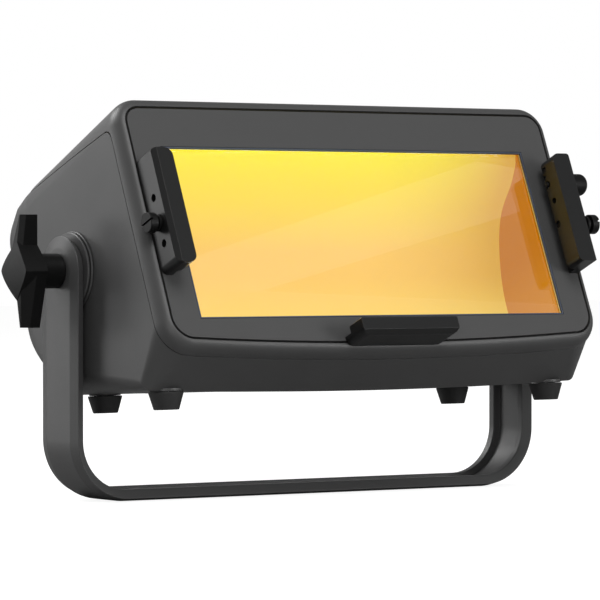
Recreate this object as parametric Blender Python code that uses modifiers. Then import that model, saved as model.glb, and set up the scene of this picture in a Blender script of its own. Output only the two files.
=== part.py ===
"""A stage floodlight with an asymmetric reflector, standing on its U-shaped yoke.

World frame: metres, +Z up, the front faces -Y, X = 0 is the middle. Z = 0 is the yoke's outer bottom face.
The housing is built in its own frame: Y back from the tilt axis, Z up along the front plate. The empty
housing_frame turns that frame by TILT about the tilt axis. Left is the side at -X.
"""
import math

import bmesh
import bpy
from mathutils import Matrix, Vector

for old in list(bpy.data.objects):
    bpy.data.objects.remove(old)

MM = 0.001
GAP = 0.3 * MM

# Housing
TILT = math.radians(23.64)
PIVOT_Z = 184.0 * MM
HALF_W = 212.2 * MM
FRONT_Y = -108.2 * MM
REAR_Y = 106.0 * MM
TOP_FRONT_Z = 104.3 * MM
TOP_SLOPE = -0.0345
REAR_FALL = -0.62
REAR_FALL_Y = 43.5 * MM
REAR_FALL_BLEND = 7.0 * MM
REAR_EDGE_R = 6.0 * MM
LIP_DEPTH = 13.3 * MM
LIP_Y = FRONT_Y + LIP_DEPTH
LIP_Z = -112.6 * MM
UNDER_FRONT_Y = -59.0 * MM
UNDER_FRONT_Z = -126.7 * MM
UNDER_REAR_Y = 65.0 * MM
UNDER_LEAN = math.radians(20.2)
REAR_LOW_Z = -20.0 * MM
WALL = 3.0 * MM
LEDGE = 7.0 * MM
FRONT_ROLL = 9.0 * MM
EDGE_R = 24.0 * MM
TOP_MIDDLE_R = 13.2 * MM
TOP_REAR_R = 5.5 * MM
LOW_EDGE_R = 27.0 * MM
LOW_EDGE_MIN_R = 9.0 * MM
REAR_R = 28.0 * MM
BOW = 6.1 * MM
BOW_LOSS = 1.8 * MM
SEAM = 0.7 * MM
SEAM_FRONT_Z = 80.4 * MM
SEAM_REAR_Z = 85.4 * MM
SEAM_TURN_Y = 55.8 * MM
SEAM_CORNER_Y = 84.1 * MM
SEAM_CORNER_Z = 67.0 * MM
SEAM_BACK_Y = 101.0 * MM
SEAM_BACK_Z = 46.5 * MM

# Front plate and window
EDGE_BAND = 8.7 * MM
GROOVE_HALF_W = HALF_W - EDGE_BAND
GROOVE_TOP = 93.8 * MM
GROOVE_LOW = -103.2 * MM
GROOVE = 1.9 * MM
GROOVE_TOP_R = 13.2 * MM
GROOVE_LOW_R = 18.0 * MM
PLATE_BOW = 5.8 * MM
PLATE_T = 3.0 * MM
FRAME_W = 27.4 * MM
WINDOW_HALF_W = GROOVE_HALF_W - FRAME_W
WINDOW_TOP = 58.7 * MM
WINDOW_LOW = -85.6 * MM
GLASS_T = 3.0 * MM
GLASS_LAP = 6.0 * MM
GASKET_W = 1.0 * MM
RETAINER_T = 2.0 * MM
RETAINER_LAP = 2.4 * MM

# Accessory frame brackets
BRACKET_DEPTH = 27.0 * MM
BRACKET_OUTER = GROOVE_HALF_W + 0.2 * MM
BRACKET_W = 17.5 * MM
BRACKET_TOP = 46.7 * MM
BRACKET_LOW = -50.4 * MM
BRACKET_CHAMFER = 3.6 * MM
SLOT_DEPTH = 7.8 * MM
SLOT_W = 8.7 * MM
BOTTOM_BRACKET_HALF = 46.7 * MM
BOTTOM_BRACKET_TOP = -98.6 * MM
BOTTOM_BRACKET_H = 13.7 * MM
BOTTOM_SLOT_DEPTH = 6.0 * MM
PIN_Y = FRONT_Y - 11.8 * MM
SCREW_Z = -11.2 * MM
LATCH_Z = 24.8 * MM
SCREW_HOLE_R = 3.2 * MM
THREAD_R = 2.9 * MM
THUMB_R = 8.1 * MM
THUMB_NECK = 5.3 * MM
THUMB_HEAD = 11.0 * MM
LATCH_R = 9.2 * MM
LATCH_BASE = 3.0 * MM
LATCH_STRAIGHT = 14.5 * MM
LATCH_DOME = 5.7 * MM
LATCH_PIN_R = 2.4 * MM

# Yoke and clamps
YOKE_T = 9.5 * MM
DISC_T = 1.8 * MM
YOKE_DISC_T = 1.9 * MM
WASHER_T = 0.5 * MM
SLIP = 0.2 * MM
YOKE_OUTER = HALF_W + GAP + DISC_T + SLIP + WASHER_T + SLIP + YOKE_DISC_T + GAP + YOKE_T
YOKE_FLAT = 18.2 * MM
YOKE_HALF = 28.1 * MM
YOKE_BEVEL = 2.3 * MM
YOKE_LIP = 23.5 * MM
CHANNEL_HALF = 16.9 * MM
CHANNEL_DRAFT = 1.7 * MM
CHANNEL_FLOOR = 4.3 * MM
YOKE_CORNER = 49.5 * MM
YOKE_BOLT_R = 6.5 * MM
BOSS_R = 14.5 * MM
STUD_R = 4.9 * MM
PIVOT_DISC_R = 31.6 * MM
YOKE_DISC_R = 30.6 * MM
WASHER_R = 26.0 * MM
PIVOT_PLATE_T = 4.0 * MM

# Tilt knob, measured outwards from the yoke's outer face
HUB_R = 13.9 * MM
KNOB_BACK = 20.3 * MM
KNOB_FRONT = 40.5 * MM
KNOB_CROWN = 2.9 * MM
KNOB_HALF_W = 19.6 * MM
KNOB_HALF_H = 23.2 * MM
KNOB_CURVE = 1.32
WING_H = 44.8 * MM

# Feet, in the frame of the housing
FOOT_H = 14.0 * MM
FOOT_PAD = 1.0 * MM
FOOT_TOP_R = 13.9 * MM
FOOT_LOW_R = 10.3 * MM
FOOT_BORE_R = 2.8 * MM
FOOT_SINK_R = 5.4 * MM
FOOT_FRONT = (HALF_W - 26.0 * MM, -51.5 * MM)
FOOT_REAR = (HALF_W - 39.0 * MM, 55.4 * MM)
SERVICE_HALF_W = 150.0 * MM
SERVICE_Y = (-38.0 * MM, 40.0 * MM)
SERVICE_LEDGE = 10.0 * MM
SERVICE_T = 1.5 * MM

# Optics: the reflector's curve runs from the window's upper edge down to the LED board
REFLECTOR = [(-99.0, 62.5), (-94.0, 52.5), (-83.5, 41.6), (-73.0, 34.2), (-63.5, 27.0), (-56.5, 18.6),
             (-51.0, 9.4), (-46.0, -2.5), (-42.4, -13.0), (-39.6, -23.5), (-37.0, -38.0), (-36.0, -54.8),
             (-36.8, -72.0), (-39.5, -88.0)]
SHEET_T = 1.2 * MM
LED_HALF_W = WINDOW_HALF_W - 18.0 * MM
LED_Y = (-96.0 * MM, -46.0 * MM)
LED_Z = -93.8 * MM
LED_T = 1.8 * MM
LED_STEP = 26.0 * MM
LED_ROWS = (-84.0 * MM, -60.0 * MM)
SINK_Y = (-94.0 * MM, -44.0 * MM)
SINK_T = 3.9 * MM
FIN_H = 9.6 * MM
FIN_STEP = 12.0 * MM
FIN_ROOT = 1.0 * MM
FIN_TIP = 0.7 * MM

# Electronics and the rear panel
PSU_X = (-120.0 * MM, 50.0 * MM)
PSU_Y = (-26.0 * MM, 44.0 * MM)
PSU_Z = (-77.0 * MM, -40.0 * MM)
BOARD_X = (-120.0 * MM, 70.0 * MM)
BOARD_Y = (-22.0 * MM, 58.0 * MM)
BOARD_Z = -26.0 * MM
BOARD_T = 1.6 * MM
FAN_X = HALF_W - 112.2 * MM
FAN_Z = 16.0 * MM
FAN_HALF = 30.0 * MM
FAN_T = 25.0 * MM
FAN_BORE_R = 28.2 * MM
FAN_HUB_R = 12.5 * MM
FAN_SLOTS = 8
FAN_SLOT_STEP = 7.5 * MM
BLADE_R = 27.0 * MM
BLADES = 7
PANEL_W = 200.0 * MM
PANEL_X = (40.2 * MM - HALF_W, 40.2 * MM - HALF_W + PANEL_W)
PANEL_Z = (-14.0 * MM, 40.0 * MM)
PANEL_T = 2.0 * MM
PANEL_LAP = 4.0 * MM
SOCKET_STEP = 30.0 * MM
SOCKET_FIRST = 18.0 * MM
BARREL_R = 11.6 * MM
MOUTH_R = 9.6 * MM
SCREEN_AT = 160.0 * MM
SCREEN_HALF = 26.6 * MM
KEY_STEP = 14.0 * MM
KEY_R = 4.0 * MM
EYE_X = FAN_X - 55.5 * MM
EYE_R = 8.0 * MM
EYE_HOLE_R = 4.6 * MM

part_collection = bpy.data.collections.new("floodlight")
cutter_collection = bpy.data.collections.new("cutters")
for made in (part_collection, cutter_collection):
    bpy.context.scene.collection.children.link(made)
cutter_collection.hide_render = True


def empty(name, rotation=(0, 0, 0)):
    made = bpy.data.objects.new(name, None)
    made.location = (0, 0, PIVOT_Z)
    made.rotation_euler = rotation
    part_collection.objects.link(made)
    return made


housing_frame = empty("housing_frame", (-TILT, 0, 0))
yoke_frame = empty("yoke_frame")

# Rotations that turn a shape made along Z to lie along an axis. An outline's own axes are then
# (y, z) for X, (x, z) for Y and (x, y) for Z.
ALONG = {
    "X": Matrix(((0, 0, 1), (1, 0, 0), (0, 1, 0))),
    "Y": Matrix(((1, 0, 0), (0, 0, -1), (0, 1, 0))),
    "Z": Matrix.Identity(3),
}


# Shapes. Each function gives a closed bmesh that a node, a cut or a join is made from

def evaluated(data, matrix, modifiers=()):
    """The mesh of a curve or a profile with its modifiers, moved by matrix, with its seams welded."""
    obj = bpy.data.objects.new("shape", data)
    bpy.context.scene.collection.objects.link(obj)
    for kind, values in modifiers:
        modifier = obj.modifiers.new(kind.lower(), kind)
        for key, value in values.items():
            setattr(modifier, key, value)
    graph = bpy.context.evaluated_depsgraph_get()
    mesh = bpy.data.meshes.new_from_object(obj.evaluated_get(graph))
    bpy.data.objects.remove(obj)
    bm = bmesh.new()
    bm.from_mesh(mesh)
    bpy.data.meshes.remove(mesh)
    bmesh.ops.transform(bm, matrix=matrix, verts=bm.verts)
    bmesh.ops.remove_doubles(bm, verts=bm.verts, dist=1e-6)
    bmesh.ops.recalc_face_normals(bm, faces=bm.faces)
    return bm


def extruded(outlines, axis, low, high):
    """Closed outlines pushed along an axis: a 2D curve, filled on both sides. A second outline is a hole."""
    curve = bpy.data.curves.new("outline", "CURVE")
    curve.dimensions = "2D"
    curve.fill_mode = "BOTH"
    curve.extrude = (high - low) / 2 / MM
    for outline in outlines:
        spline = curve.splines.new("POLY")
        spline.points.add(len(outline) - 1)
        spline.use_cyclic_u = True
        for point, (a, b) in zip(spline.points, outline):
            point.co = (a / MM, b / MM, 0, 1)
    middle = (low + high) / 2
    if axis == "Y":
        middle = -middle
    place = ALONG[axis].to_4x4() @ Matrix.Translation((0, 0, middle)) @ Matrix.Scale(MM, 4)
    return evaluated(curve, place)


def plate(outline, axis, low, high):
    return extruded([outline], axis, low, high)


def box(x, y, z):
    bm = bmesh.new()
    bmesh.ops.create_cube(bm, size=1)
    bmesh.ops.scale(bm, verts=bm.verts, vec=(x[1] - x[0], y[1] - y[0], z[1] - z[0]))
    bmesh.ops.translate(bm, verts=bm.verts, vec=((x[0] + x[1]) / 2, (y[0] + y[1]) / 2, (z[0] + z[1]) / 2))
    return bm


def upright(axis, centre, sign=1):
    """The placement of a shape made along Z: along an axis, or against it where sign is -1."""
    turn = ALONG[axis].to_4x4()
    if axis == "Y":
        turn = turn @ Matrix.Rotation(math.pi, 4, "X")
    if sign < 0:
        turn = turn @ Matrix.Rotation(math.pi, 4, "X")
    return Matrix.Translation(centre) @ turn


def rod(radius, low, high, axis, centre=(0, 0, 0), steps=24, far_radius=None):
    """A cylinder, or a cone where the far end has its own radius."""
    bm = bmesh.new()
    far = radius if far_radius is None else far_radius
    bmesh.ops.create_cone(bm, cap_ends=True, segments=steps, radius1=radius, radius2=far, depth=high - low)
    bmesh.ops.translate(bm, verts=bm.verts, vec=(0, 0, (low + high) / 2))
    bmesh.ops.transform(bm, verts=bm.verts, matrix=upright(axis, centre))
    return bm


def turned(profile, axis, centre=(0, 0, 0), steps=32, sign=1, closed=False):
    """A profile of (along, radius) pairs turned about its axis. It starts and ends on the axis, or is closed."""
    data = bpy.data.meshes.new("profile")
    edges = [(i, i + 1) for i in range(len(profile) - 1)]
    if closed:
        edges.append((len(profile) - 1, 0))
    data.from_pydata([(radius, 0, along) for along, radius in profile], edges, [])
    screw = {"axis": "Z", "angle": 2 * math.pi, "steps": steps, "render_steps": steps, "use_merge_vertices": True,
             "merge_threshold": 1e-6}
    return evaluated(data, upright(axis, centre, sign), [("SCREW", screw)])


def tube(outer, inner, low, high, axis, centre=(0, 0, 0), steps=32):
    profile = [(low, inner), (low, outer), (high, outer), (high, inner)]
    return turned(profile, axis, centre, steps, closed=True)


def loft(sections):
    """A skin over unlike sections, each a ring of points, with flat ends."""
    bm = bmesh.new()
    rings = [[bm.verts.new(p) for p in section] for section in sections]
    for a, b in zip(rings, rings[1:]):
        for i in range(len(a)):
            j = (i + 1) % len(a)
            bm.faces.new((a[i], a[j], b[j], b[i]))
    bm.faces.new(rings[0])
    bm.faces.new(rings[-1])
    bmesh.ops.recalc_face_normals(bm, faces=bm.faces)
    return bm


def hull(points):
    bm = bmesh.new()
    for point in points:
        bm.verts.new(point)
    bmesh.ops.convex_hull(bm, input=bm.verts)
    loose = [vert for vert in bm.verts if not vert.link_faces]
    bmesh.ops.delete(bm, geom=loose, context="VERTS")
    flat = [edge for edge in bm.edges if len(edge.link_faces) == 2 and edge.calc_face_angle() < 0.01]
    bmesh.ops.dissolve_edges(bm, edges=flat, use_verts=False)
    bmesh.ops.recalc_face_normals(bm, faces=bm.faces)
    return bm


def merged(*shapes):
    """Several shapes in one mesh, for a cutter of separate solids."""
    out = bmesh.new()
    for shape in shapes:
        data = bpy.data.meshes.new("merge")
        shape.to_mesh(data)
        out.from_mesh(data)
        bpy.data.meshes.remove(data)
        shape.free()
    return out


def turn_shape(bm, degrees, axis):
    turn = Matrix.Rotation(math.radians(degrees), 3, axis)
    bmesh.ops.rotate(bm, verts=bm.verts, cent=(0, 0, 0), matrix=turn)
    return bm


def move_shape(bm, offset):
    bmesh.ops.translate(bm, verts=bm.verts, vec=offset)
    return bm


# Outlines

def arc(centre, radius, start, end, steps):
    """Points on an arc, in degrees, both ends included."""
    points = []
    for i in range(steps + 1):
        turn = math.radians(start + (end - start) * i / steps)
        points.append((centre[0] + radius * math.cos(turn), centre[1] + radius * math.sin(turn)))
    return points


def rounded_box(x, z, radii, steps=5):
    """An outline with its own radius at each corner: low left, low right, top right, top left."""
    a, b, c, d = radii
    points = arc((x[0] + a, z[0] + a), a, 180, 270, steps)
    points += arc((x[1] - b, z[0] + b), b, 270, 360, steps)
    points += arc((x[1] - c, z[1] - c), c, 0, 90, steps)
    return points + arc((x[0] + d, z[1] - d), d, 90, 180, steps)


def rounded_corner(before, corner, after, reach, steps=4):
    """A soft turn at a corner of a line: it starts and ends at reach from the corner."""
    here = Vector(corner)
    start = here + (Vector(before) - here).normalized() * reach
    end = here + (Vector(after) - here).normalized() * reach
    points = []
    for i in range(steps + 1):
        t = i / steps
        points.append(tuple(start * (1 - t) ** 2 + here * 2 * t * (1 - t) + end * t ** 2))
    return points


# Objects

def material(name, colour, rough=0.5, metal=0.0):
    made = bpy.data.materials.new(name)
    made.use_nodes = True
    shader = made.node_tree.nodes["Principled BSDF"]
    shader.inputs["Base Color"].default_value = (*colour, 1)
    shader.inputs["Roughness"].default_value = rough
    shader.inputs["Metallic"].default_value = metal
    made.diffuse_color = (*colour, 1)
    return made


def node(name, shape, colour, parent, origin=(0, 0, 0), rough=0.5, metal=0.0, smooth=30):
    """A named piece. The mesh is made about its origin, which lies on the axis that the piece turns about."""
    move_shape(shape, -Vector(origin))
    data = bpy.data.meshes.new(name)
    shape.to_mesh(data)
    shape.free()
    obj = bpy.data.objects.new(name, data)
    obj.location = origin
    obj.parent = parent
    data.materials.append(material(name, colour, rough, metal))
    part_collection.objects.link(obj)
    if smooth:
        data.shade_smooth()
        data.set_sharp_from_angle(angle=math.radians(smooth))
    return obj


def helper(name, shape, parent=None):
    data = bpy.data.meshes.new(name)
    shape.to_mesh(data)
    shape.free()
    obj = bpy.data.objects.new(name, data)
    obj.parent = parent
    obj.hide_render = True
    obj.display_type = "WIRE"
    cutter_collection.objects.link(obj)
    return obj


def boolean(obj, other, how="DIFFERENCE"):
    modifier = obj.modifiers.new(how.lower() + "_" + other.name, "BOOLEAN")
    modifier.operation = how
    modifier.solver = "EXACT"
    modifier.object = other
    return modifier


def cut(obj, name, shape):
    return boolean(obj, helper(name, shape, obj.parent))


def join(obj, name, shape):
    return boolean(obj, helper(name, shape, obj.parent), "UNION")


def bevel(obj, width, segments=2, angle=35):
    modifier = obj.modifiers.new("edge_round", "BEVEL")
    modifier.width = width
    modifier.segments = segments
    modifier.limit_method = "ANGLE"
    modifier.angle_limit = math.radians(angle)
    modifier.use_clamp_overlap = True
    return modifier


# Housing

def front_inset(y):
    """How far the front edge roll draws the section in."""
    u = min(max((y - FRONT_Y) / LIP_DEPTH, 0), 1)
    return FRONT_ROLL * (1 - math.sqrt(max(0, 1 - (1 - u) ** 2)))


def rear_inset(y):
    v = min(max((y - (REAR_Y - REAR_R)) / REAR_R, 0), 1)
    return REAR_R * (1 - math.sqrt(max(0, 1 - v * v)))


def top_at(y):
    """The hood's top line: nearly level, then a soft turn into the fall at the rear, then the rear edge."""
    top = TOP_FRONT_Z + TOP_SLOPE * (y - FRONT_Y)
    past = y - (REAR_FALL_Y - REAR_FALL_BLEND)
    if past > 2 * REAR_FALL_BLEND:
        top += REAR_FALL * (past - REAR_FALL_BLEND)
    elif past > 0:
        top += REAR_FALL * past ** 2 / (4 * REAR_FALL_BLEND)
    v = min(max((y - (REAR_Y - REAR_EDGE_R)) / REAR_EDGE_R, 0), 1)
    return top - REAR_EDGE_R * (1 - math.sqrt(1 - v * v))


def under_at(y):
    return UNDER_FRONT_Z + math.tan(UNDER_LEAN) * (min(y, UNDER_REAR_Y) - UNDER_FRONT_Y)


def bottom_at(y):
    if y <= LIP_Y:
        return LIP_Z
    if y <= UNDER_FRONT_Y:
        return LIP_Z + (UNDER_FRONT_Z - LIP_Z) * (y - LIP_Y) / (UNDER_FRONT_Y - LIP_Y)
    if y <= UNDER_REAR_Y:
        return under_at(y)
    return under_at(y) + (REAR_LOW_Z - under_at(y)) * (y - UNDER_REAR_Y) / (REAR_Y - UNDER_REAR_Y)


def top_radius(y):
    """The hood's long edges are soft at the front and get tighter towards the fall at the rear."""
    u = min(max((y - FRONT_Y) / (REAR_FALL_Y - FRONT_Y), 0), 1)
    v = min(max((y - REAR_FALL_Y) / (SEAM_TURN_Y - REAR_FALL_Y), 0), 1)
    return EDGE_R + (TOP_MIDDLE_R - EDGE_R) * u + (TOP_REAR_R - TOP_MIDDLE_R) * v


def bottom_radius(y):
    if y <= UNDER_FRONT_Y:
        u = max(y - LIP_Y, 0) / (UNDER_FRONT_Y - LIP_Y)
        return LOW_EDGE_R + (LOW_EDGE_MIN_R - LOW_EDGE_R) * u
    u = min((y - UNDER_FRONT_Y) / (UNDER_REAR_Y - UNDER_FRONT_Y), 1)
    return LOW_EDGE_MIN_R + (EDGE_R - LOW_EDGE_MIN_R) * u


def bow_at(y):
    """How far the underside bows down in the middle."""
    if y <= UNDER_FRONT_Y:
        return BOW - BOW_LOSS * max(0, y - LIP_Y) / (UNDER_FRONT_Y - LIP_Y)
    return (BOW - BOW_LOSS) * max(0, 1 - (y - UNDER_FRONT_Y) / (UNDER_REAR_Y - UNDER_FRONT_Y))


def ring_at(y, half, low, top, r_low, r_top, bow, flat_steps=8):
    """One section across the front: a bowed lower edge, four rounded corners, straight sides and top."""
    flat = half - r_low
    right = []
    for i in range(flat_steps // 2 + 1):
        u = 2 * i / flat_steps
        right.append((flat * u, low - bow * (1 - u * u)))
    right += arc((half - r_low, low + r_low), r_low, -90, 0, 6)[1:]
    right += arc((half - r_top, top - r_top), r_top, 0, 90, 6)
    left = [(-x, z) for x, z in reversed(right[1:])]
    return [Vector((x, y, z)) for x, z in right + left]


def housing_section(y, off=0.0):
    roll = front_inset(y)
    half = HALF_W - roll - rear_inset(y) - off
    top = top_at(y) - roll - off
    low = bottom_at(y) + roll + off
    room = (top - low) / 2 - 1 * MM
    r_top = min(max(top_radius(y) - roll - off, 4 * MM), room)
    r_low = min(max(bottom_radius(y) - roll - off, 4 * MM), room)
    return ring_at(y, half, low, top, r_low, r_top, bow_at(y))


def stations(low, high):
    """Where the housing's sections stand: close together where its profile turns."""
    marks = [FRONT_Y + LIP_DEPTH * (1 - math.cos(math.radians(a))) for a in range(0, 91, 15)]
    marks += [LIP_Y + (UNDER_FRONT_Y - LIP_Y) * u for u in (0.35, 0.7, 0.9, 1.0)]
    marks += [UNDER_FRONT_Y + 10 * MM, (UNDER_FRONT_Y + REAR_FALL_Y) / 2, SEAM_TURN_Y, UNDER_REAR_Y]
    marks += [REAR_FALL_Y + REAR_FALL_BLEND * u for u in (-1, -0.4, 0.3, 1)]
    marks += [REAR_Y - REAR_R * (1 - math.sin(math.radians(a))) for a in (0, 20, 35, 50, 65, 78, 90)]
    spaced = [low]
    for y in sorted(m for m in marks if low + 1 * MM < m < high - 0.5 * MM):
        if y - spaced[-1] > 0.4 * MM:
            spaced.append(y)
    return spaced + [high]


def housing_solid(off=0.0):
    low, high = (FRONT_Y, REAR_Y) if off == 0 else (FRONT_Y + LEDGE, REAR_Y - off)
    return loft([housing_section(y, off) for y in stations(low, high)])


def seam_line(shift):
    """The joint between hood and base, seen from the side and pushed outwards by shift."""
    foot = (LIP_Y - shift, -0.3)
    front = (LIP_Y - shift, SEAM_FRONT_Z + shift)
    turn = (SEAM_TURN_Y + shift / 2, SEAM_REAR_Z + shift)
    corner = (SEAM_CORNER_Y + shift / 2, SEAM_CORNER_Z + shift)
    back = (SEAM_BACK_Y + shift / 2, SEAM_BACK_Z + shift)
    end = (REAR_Y + 0.1, SEAM_BACK_Z + shift)
    line = [foot] + rounded_corner(foot, front, turn, 9 * MM)
    line += rounded_corner(front, turn, corner, 6 * MM)
    line += rounded_corner(turn, corner, back, 3 * MM, 2)
    return line + rounded_corner(corner, back, end, 4 * MM, 2) + [end]


def build_hood():
    hood = node("hood", housing_solid(), (0.045, 0.045, 0.047), housing_frame)
    boolean(hood, inner_space)
    below = seam_line(SEAM / 2) + [(REAR_Y + 0.1, -0.3)]
    cut(hood, "hood_split", plate(below, "X", -0.4, 0.4))
    cut(hood, "plate_opening", plate(plate_outline(-GROOVE / 2), "Y", FRONT_Y - 5 * MM, FRONT_Y + PLATE_T + 0.4 * MM))
    cut(hood, "ledge_opening", plate(plate_outline(6 * MM), "Y", FRONT_Y - 6 * MM, FRONT_Y + 20 * MM))


def fan_slots():
    slots = []
    for i in range(FAN_SLOTS):
        x = FAN_X + (i - (FAN_SLOTS - 1) / 2) * FAN_SLOT_STEP
        reach = FAN_HALF - 6 * MM
        outline = rounded_box((x - 2 * MM, x + 2 * MM), (FAN_Z - reach, FAN_Z + reach), [1.9 * MM] * 4, 1)
        slots.append(plate(outline, "Y", REAR_Y - 8 * MM, REAR_Y + 5 * MM))
    return slots


def build_base():
    base = node("base_shell", housing_solid(), (0.05, 0.05, 0.052), housing_frame)
    boolean(base, inner_space)
    above = [(-0.3, -0.31)] + seam_line(-SEAM / 2) + [(REAR_Y + 0.11, 0.3), (-0.3, 0.3)]
    cut(base, "base_split", plate(above, "X", -0.4, 0.4))
    pads = [on_underside(rod(15.6 * MM, -FOOT_PAD, 5 * MM, "Z"), x, y) for x, y in foot_places()]
    join(base, "foot_pads", merged(*pads))
    holes = [on_underside(rod(FOOT_BORE_R, -6 * MM, 20 * MM, "Z", steps=12), x, y) for x, y in foot_places()]
    holes += [rod(STUD_R + 0.5 * MM, s * HALF_W - 8 * MM, s * HALF_W + 8 * MM, "X") for s in (-1, 1)]
    cut(base, "base_holes", merged(*holes))
    wide = (PANEL_X[0] + PANEL_LAP, PANEL_X[1] - PANEL_LAP)
    tall = (PANEL_Z[0] + PANEL_LAP, PANEL_Z[1] - PANEL_LAP)
    opening = box(wide, (REAR_Y - 8 * MM, REAR_Y + 5 * MM), tall)
    cut(base, "rear_openings", merged(opening, *fan_slots()))
    cut(base, "service_recess", service_shape(0, -14 * MM, SERVICE_T - GAP))
    cut(base, "service_opening", service_shape(SERVICE_LEDGE, -14 * MM, 14 * MM))


# Front plate, window and its seal

def plate_outline(off):
    """The groove's centre line, drawn in by off. Its low edge bows down in the middle."""
    half, low, top = GROOVE_HALF_W - off, GROOVE_LOW + off, GROOVE_TOP - off
    r_low, r_top = max(GROOVE_LOW_R - off, 3 * MM), max(GROOVE_TOP_R - off, 3 * MM)
    return [(p.x, p.z) for p in ring_at(0, half, low, top, r_low, r_top, PLATE_BOW, 12)]


def window_outline(grow):
    half, low, top = WINDOW_HALF_W + grow, WINDOW_LOW - grow, WINDOW_TOP + grow
    return [(-half, low), (half, low), (half, top), (-half, top)]


def build_window():
    back = FRONT_Y + PLATE_T
    opening = window_outline(GASKET_W + GAP)
    shape = plate(plate_outline(GROOVE / 2), "Y", FRONT_Y, back)
    front = node("front_plate", shape, (0.06, 0.06, 0.062), housing_frame)
    cut(front, "window_opening", plate(opening, "Y", FRONT_Y - 5 * MM, back + 5 * MM))
    gasket = extruded([window_outline(GASKET_W), window_outline(0)], "Y", FRONT_Y + 0.2 * MM, back)
    node("window_gasket", gasket, (0.03, 0.04, 0.07), housing_frame)
    near = back + GAP
    glass = plate(window_outline(GLASS_LAP), "Y", near, near + GLASS_T)
    node("window_glass", glass, (0.8, 0.85, 0.9), housing_frame, rough=0.05)
    near += GLASS_T + GAP
    rings = [window_outline(GLASS_LAP + GASKET_W), window_outline(RETAINER_LAP)]
    retainer = extruded(rings, "Y", near, near + RETAINER_T)
    node("glass_retainer", retainer, (0.3, 0.3, 0.3), housing_frame, metal=0.8)


# Accessory brackets with their screws and latch

def chamfer_outline(a, b, size, step_a, step_b):
    """A corner of a section to cut away at (a, b): the material lies towards step_a and step_b."""
    out_a, out_b = a - step_a * 1 * MM, b - step_b * 1 * MM
    slant = [(out_a, b + step_b * size), (a, b + step_b * size), (a + step_a * size, b), (a + step_a * size, out_b)]
    return slant + [(out_a, out_b)]


def build_side_bracket(side):
    name = "frame_bracket_" + ("left" if side < 0 else "right")
    back = FRONT_Y - GAP
    front = FRONT_Y - BRACKET_DEPTH
    inner = BRACKET_OUTER - BRACKET_W
    height = (BRACKET_LOW - 1 * MM, BRACKET_TOP + 1 * MM)
    radii = [6 * MM, 6.5 * MM, 7 * MM, 2 * MM] if side < 0 else [5 * MM, 1 * MM, 2.5 * MM, 6.5 * MM]
    outline = rounded_box(sorted((side * inner, side * BRACKET_OUTER)), (BRACKET_LOW, BRACKET_TOP), radii, 4)
    bracket = node(name, plate(outline, "Y", front, back), (0.02, 0.02, 0.02), housing_frame)
    slot = sorted((side * (inner - 2 * MM), side * (inner + SLOT_DEPTH)))
    cutters = [box(slot, (back - SLOT_W, back + 1 * MM), height)]
    if side < 0:
        outline = chamfer_outline(side * BRACKET_OUTER, front, BRACKET_CHAMFER, 1, 1)
        cutters.append(plate(outline, "Z", *height))
    cut(bracket, name + "_slot", merged(*cutters))
    reach = sorted((side * (inner - 3 * MM), side * (BRACKET_OUTER + 3 * MM)))
    holes = [rod(SCREW_HOLE_R, *reach, "X", (0, PIN_Y, SCREW_Z), 20)]
    if side < 0:
        holes += [rod(SCREW_HOLE_R, *reach, "X", (0, PIN_Y - 1 * MM, SCREW_Z + dz * MM), 20) for dz in (20.6, -17.8)]
    else:
        holes.append(rod(2.5 * MM, *reach, "X", (0, PIN_Y - 3 * MM, 9 * MM), 16))
        holes.append(rod(SCREW_HOLE_R, *reach, "X", (0, PIN_Y, LATCH_Z), 20))
        for z, depth in ((35.5 * MM, 5.5 * MM), (29 * MM, 3.0 * MM)):
            wall = back - SLOT_W
            holes.append(box((inner - 1 * MM, inner + 3 * MM), (wall - depth, wall + 1 * MM), (z, z + 4.5 * MM)))
    for i, hole in enumerate(holes):
        cut(bracket, "%s_hole_%d" % (name, i), hole)


def build_bottom_bracket():
    back, front = FRONT_Y - GAP, FRONT_Y - BRACKET_DEPTH
    low = BOTTOM_BRACKET_TOP - BOTTOM_BRACKET_H
    span = (-BOTTOM_BRACKET_HALF, BOTTOM_BRACKET_HALF)
    outline = rounded_box(span, (low, BOTTOM_BRACKET_TOP), [6 * MM, 6 * MM, 1.5 * MM, 1 * MM], 4)
    bracket = node("frame_bracket_bottom", plate(outline, "Y", front, back), (0.02, 0.02, 0.02), housing_frame)
    reach = (span[0] - 1 * MM, span[1] + 1 * MM)
    floor = BOTTOM_BRACKET_TOP - BOTTOM_SLOT_DEPTH
    slot = box(reach, (back - SLOT_W, back + 1 * MM), (floor, BOTTOM_BRACKET_TOP + 1 * MM))
    corner = plate(chamfer_outline(front, low, BRACKET_CHAMFER, 1, 1), "X", *reach)
    cut(bracket, "bottom_slot", merged(slot, corner))


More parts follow.
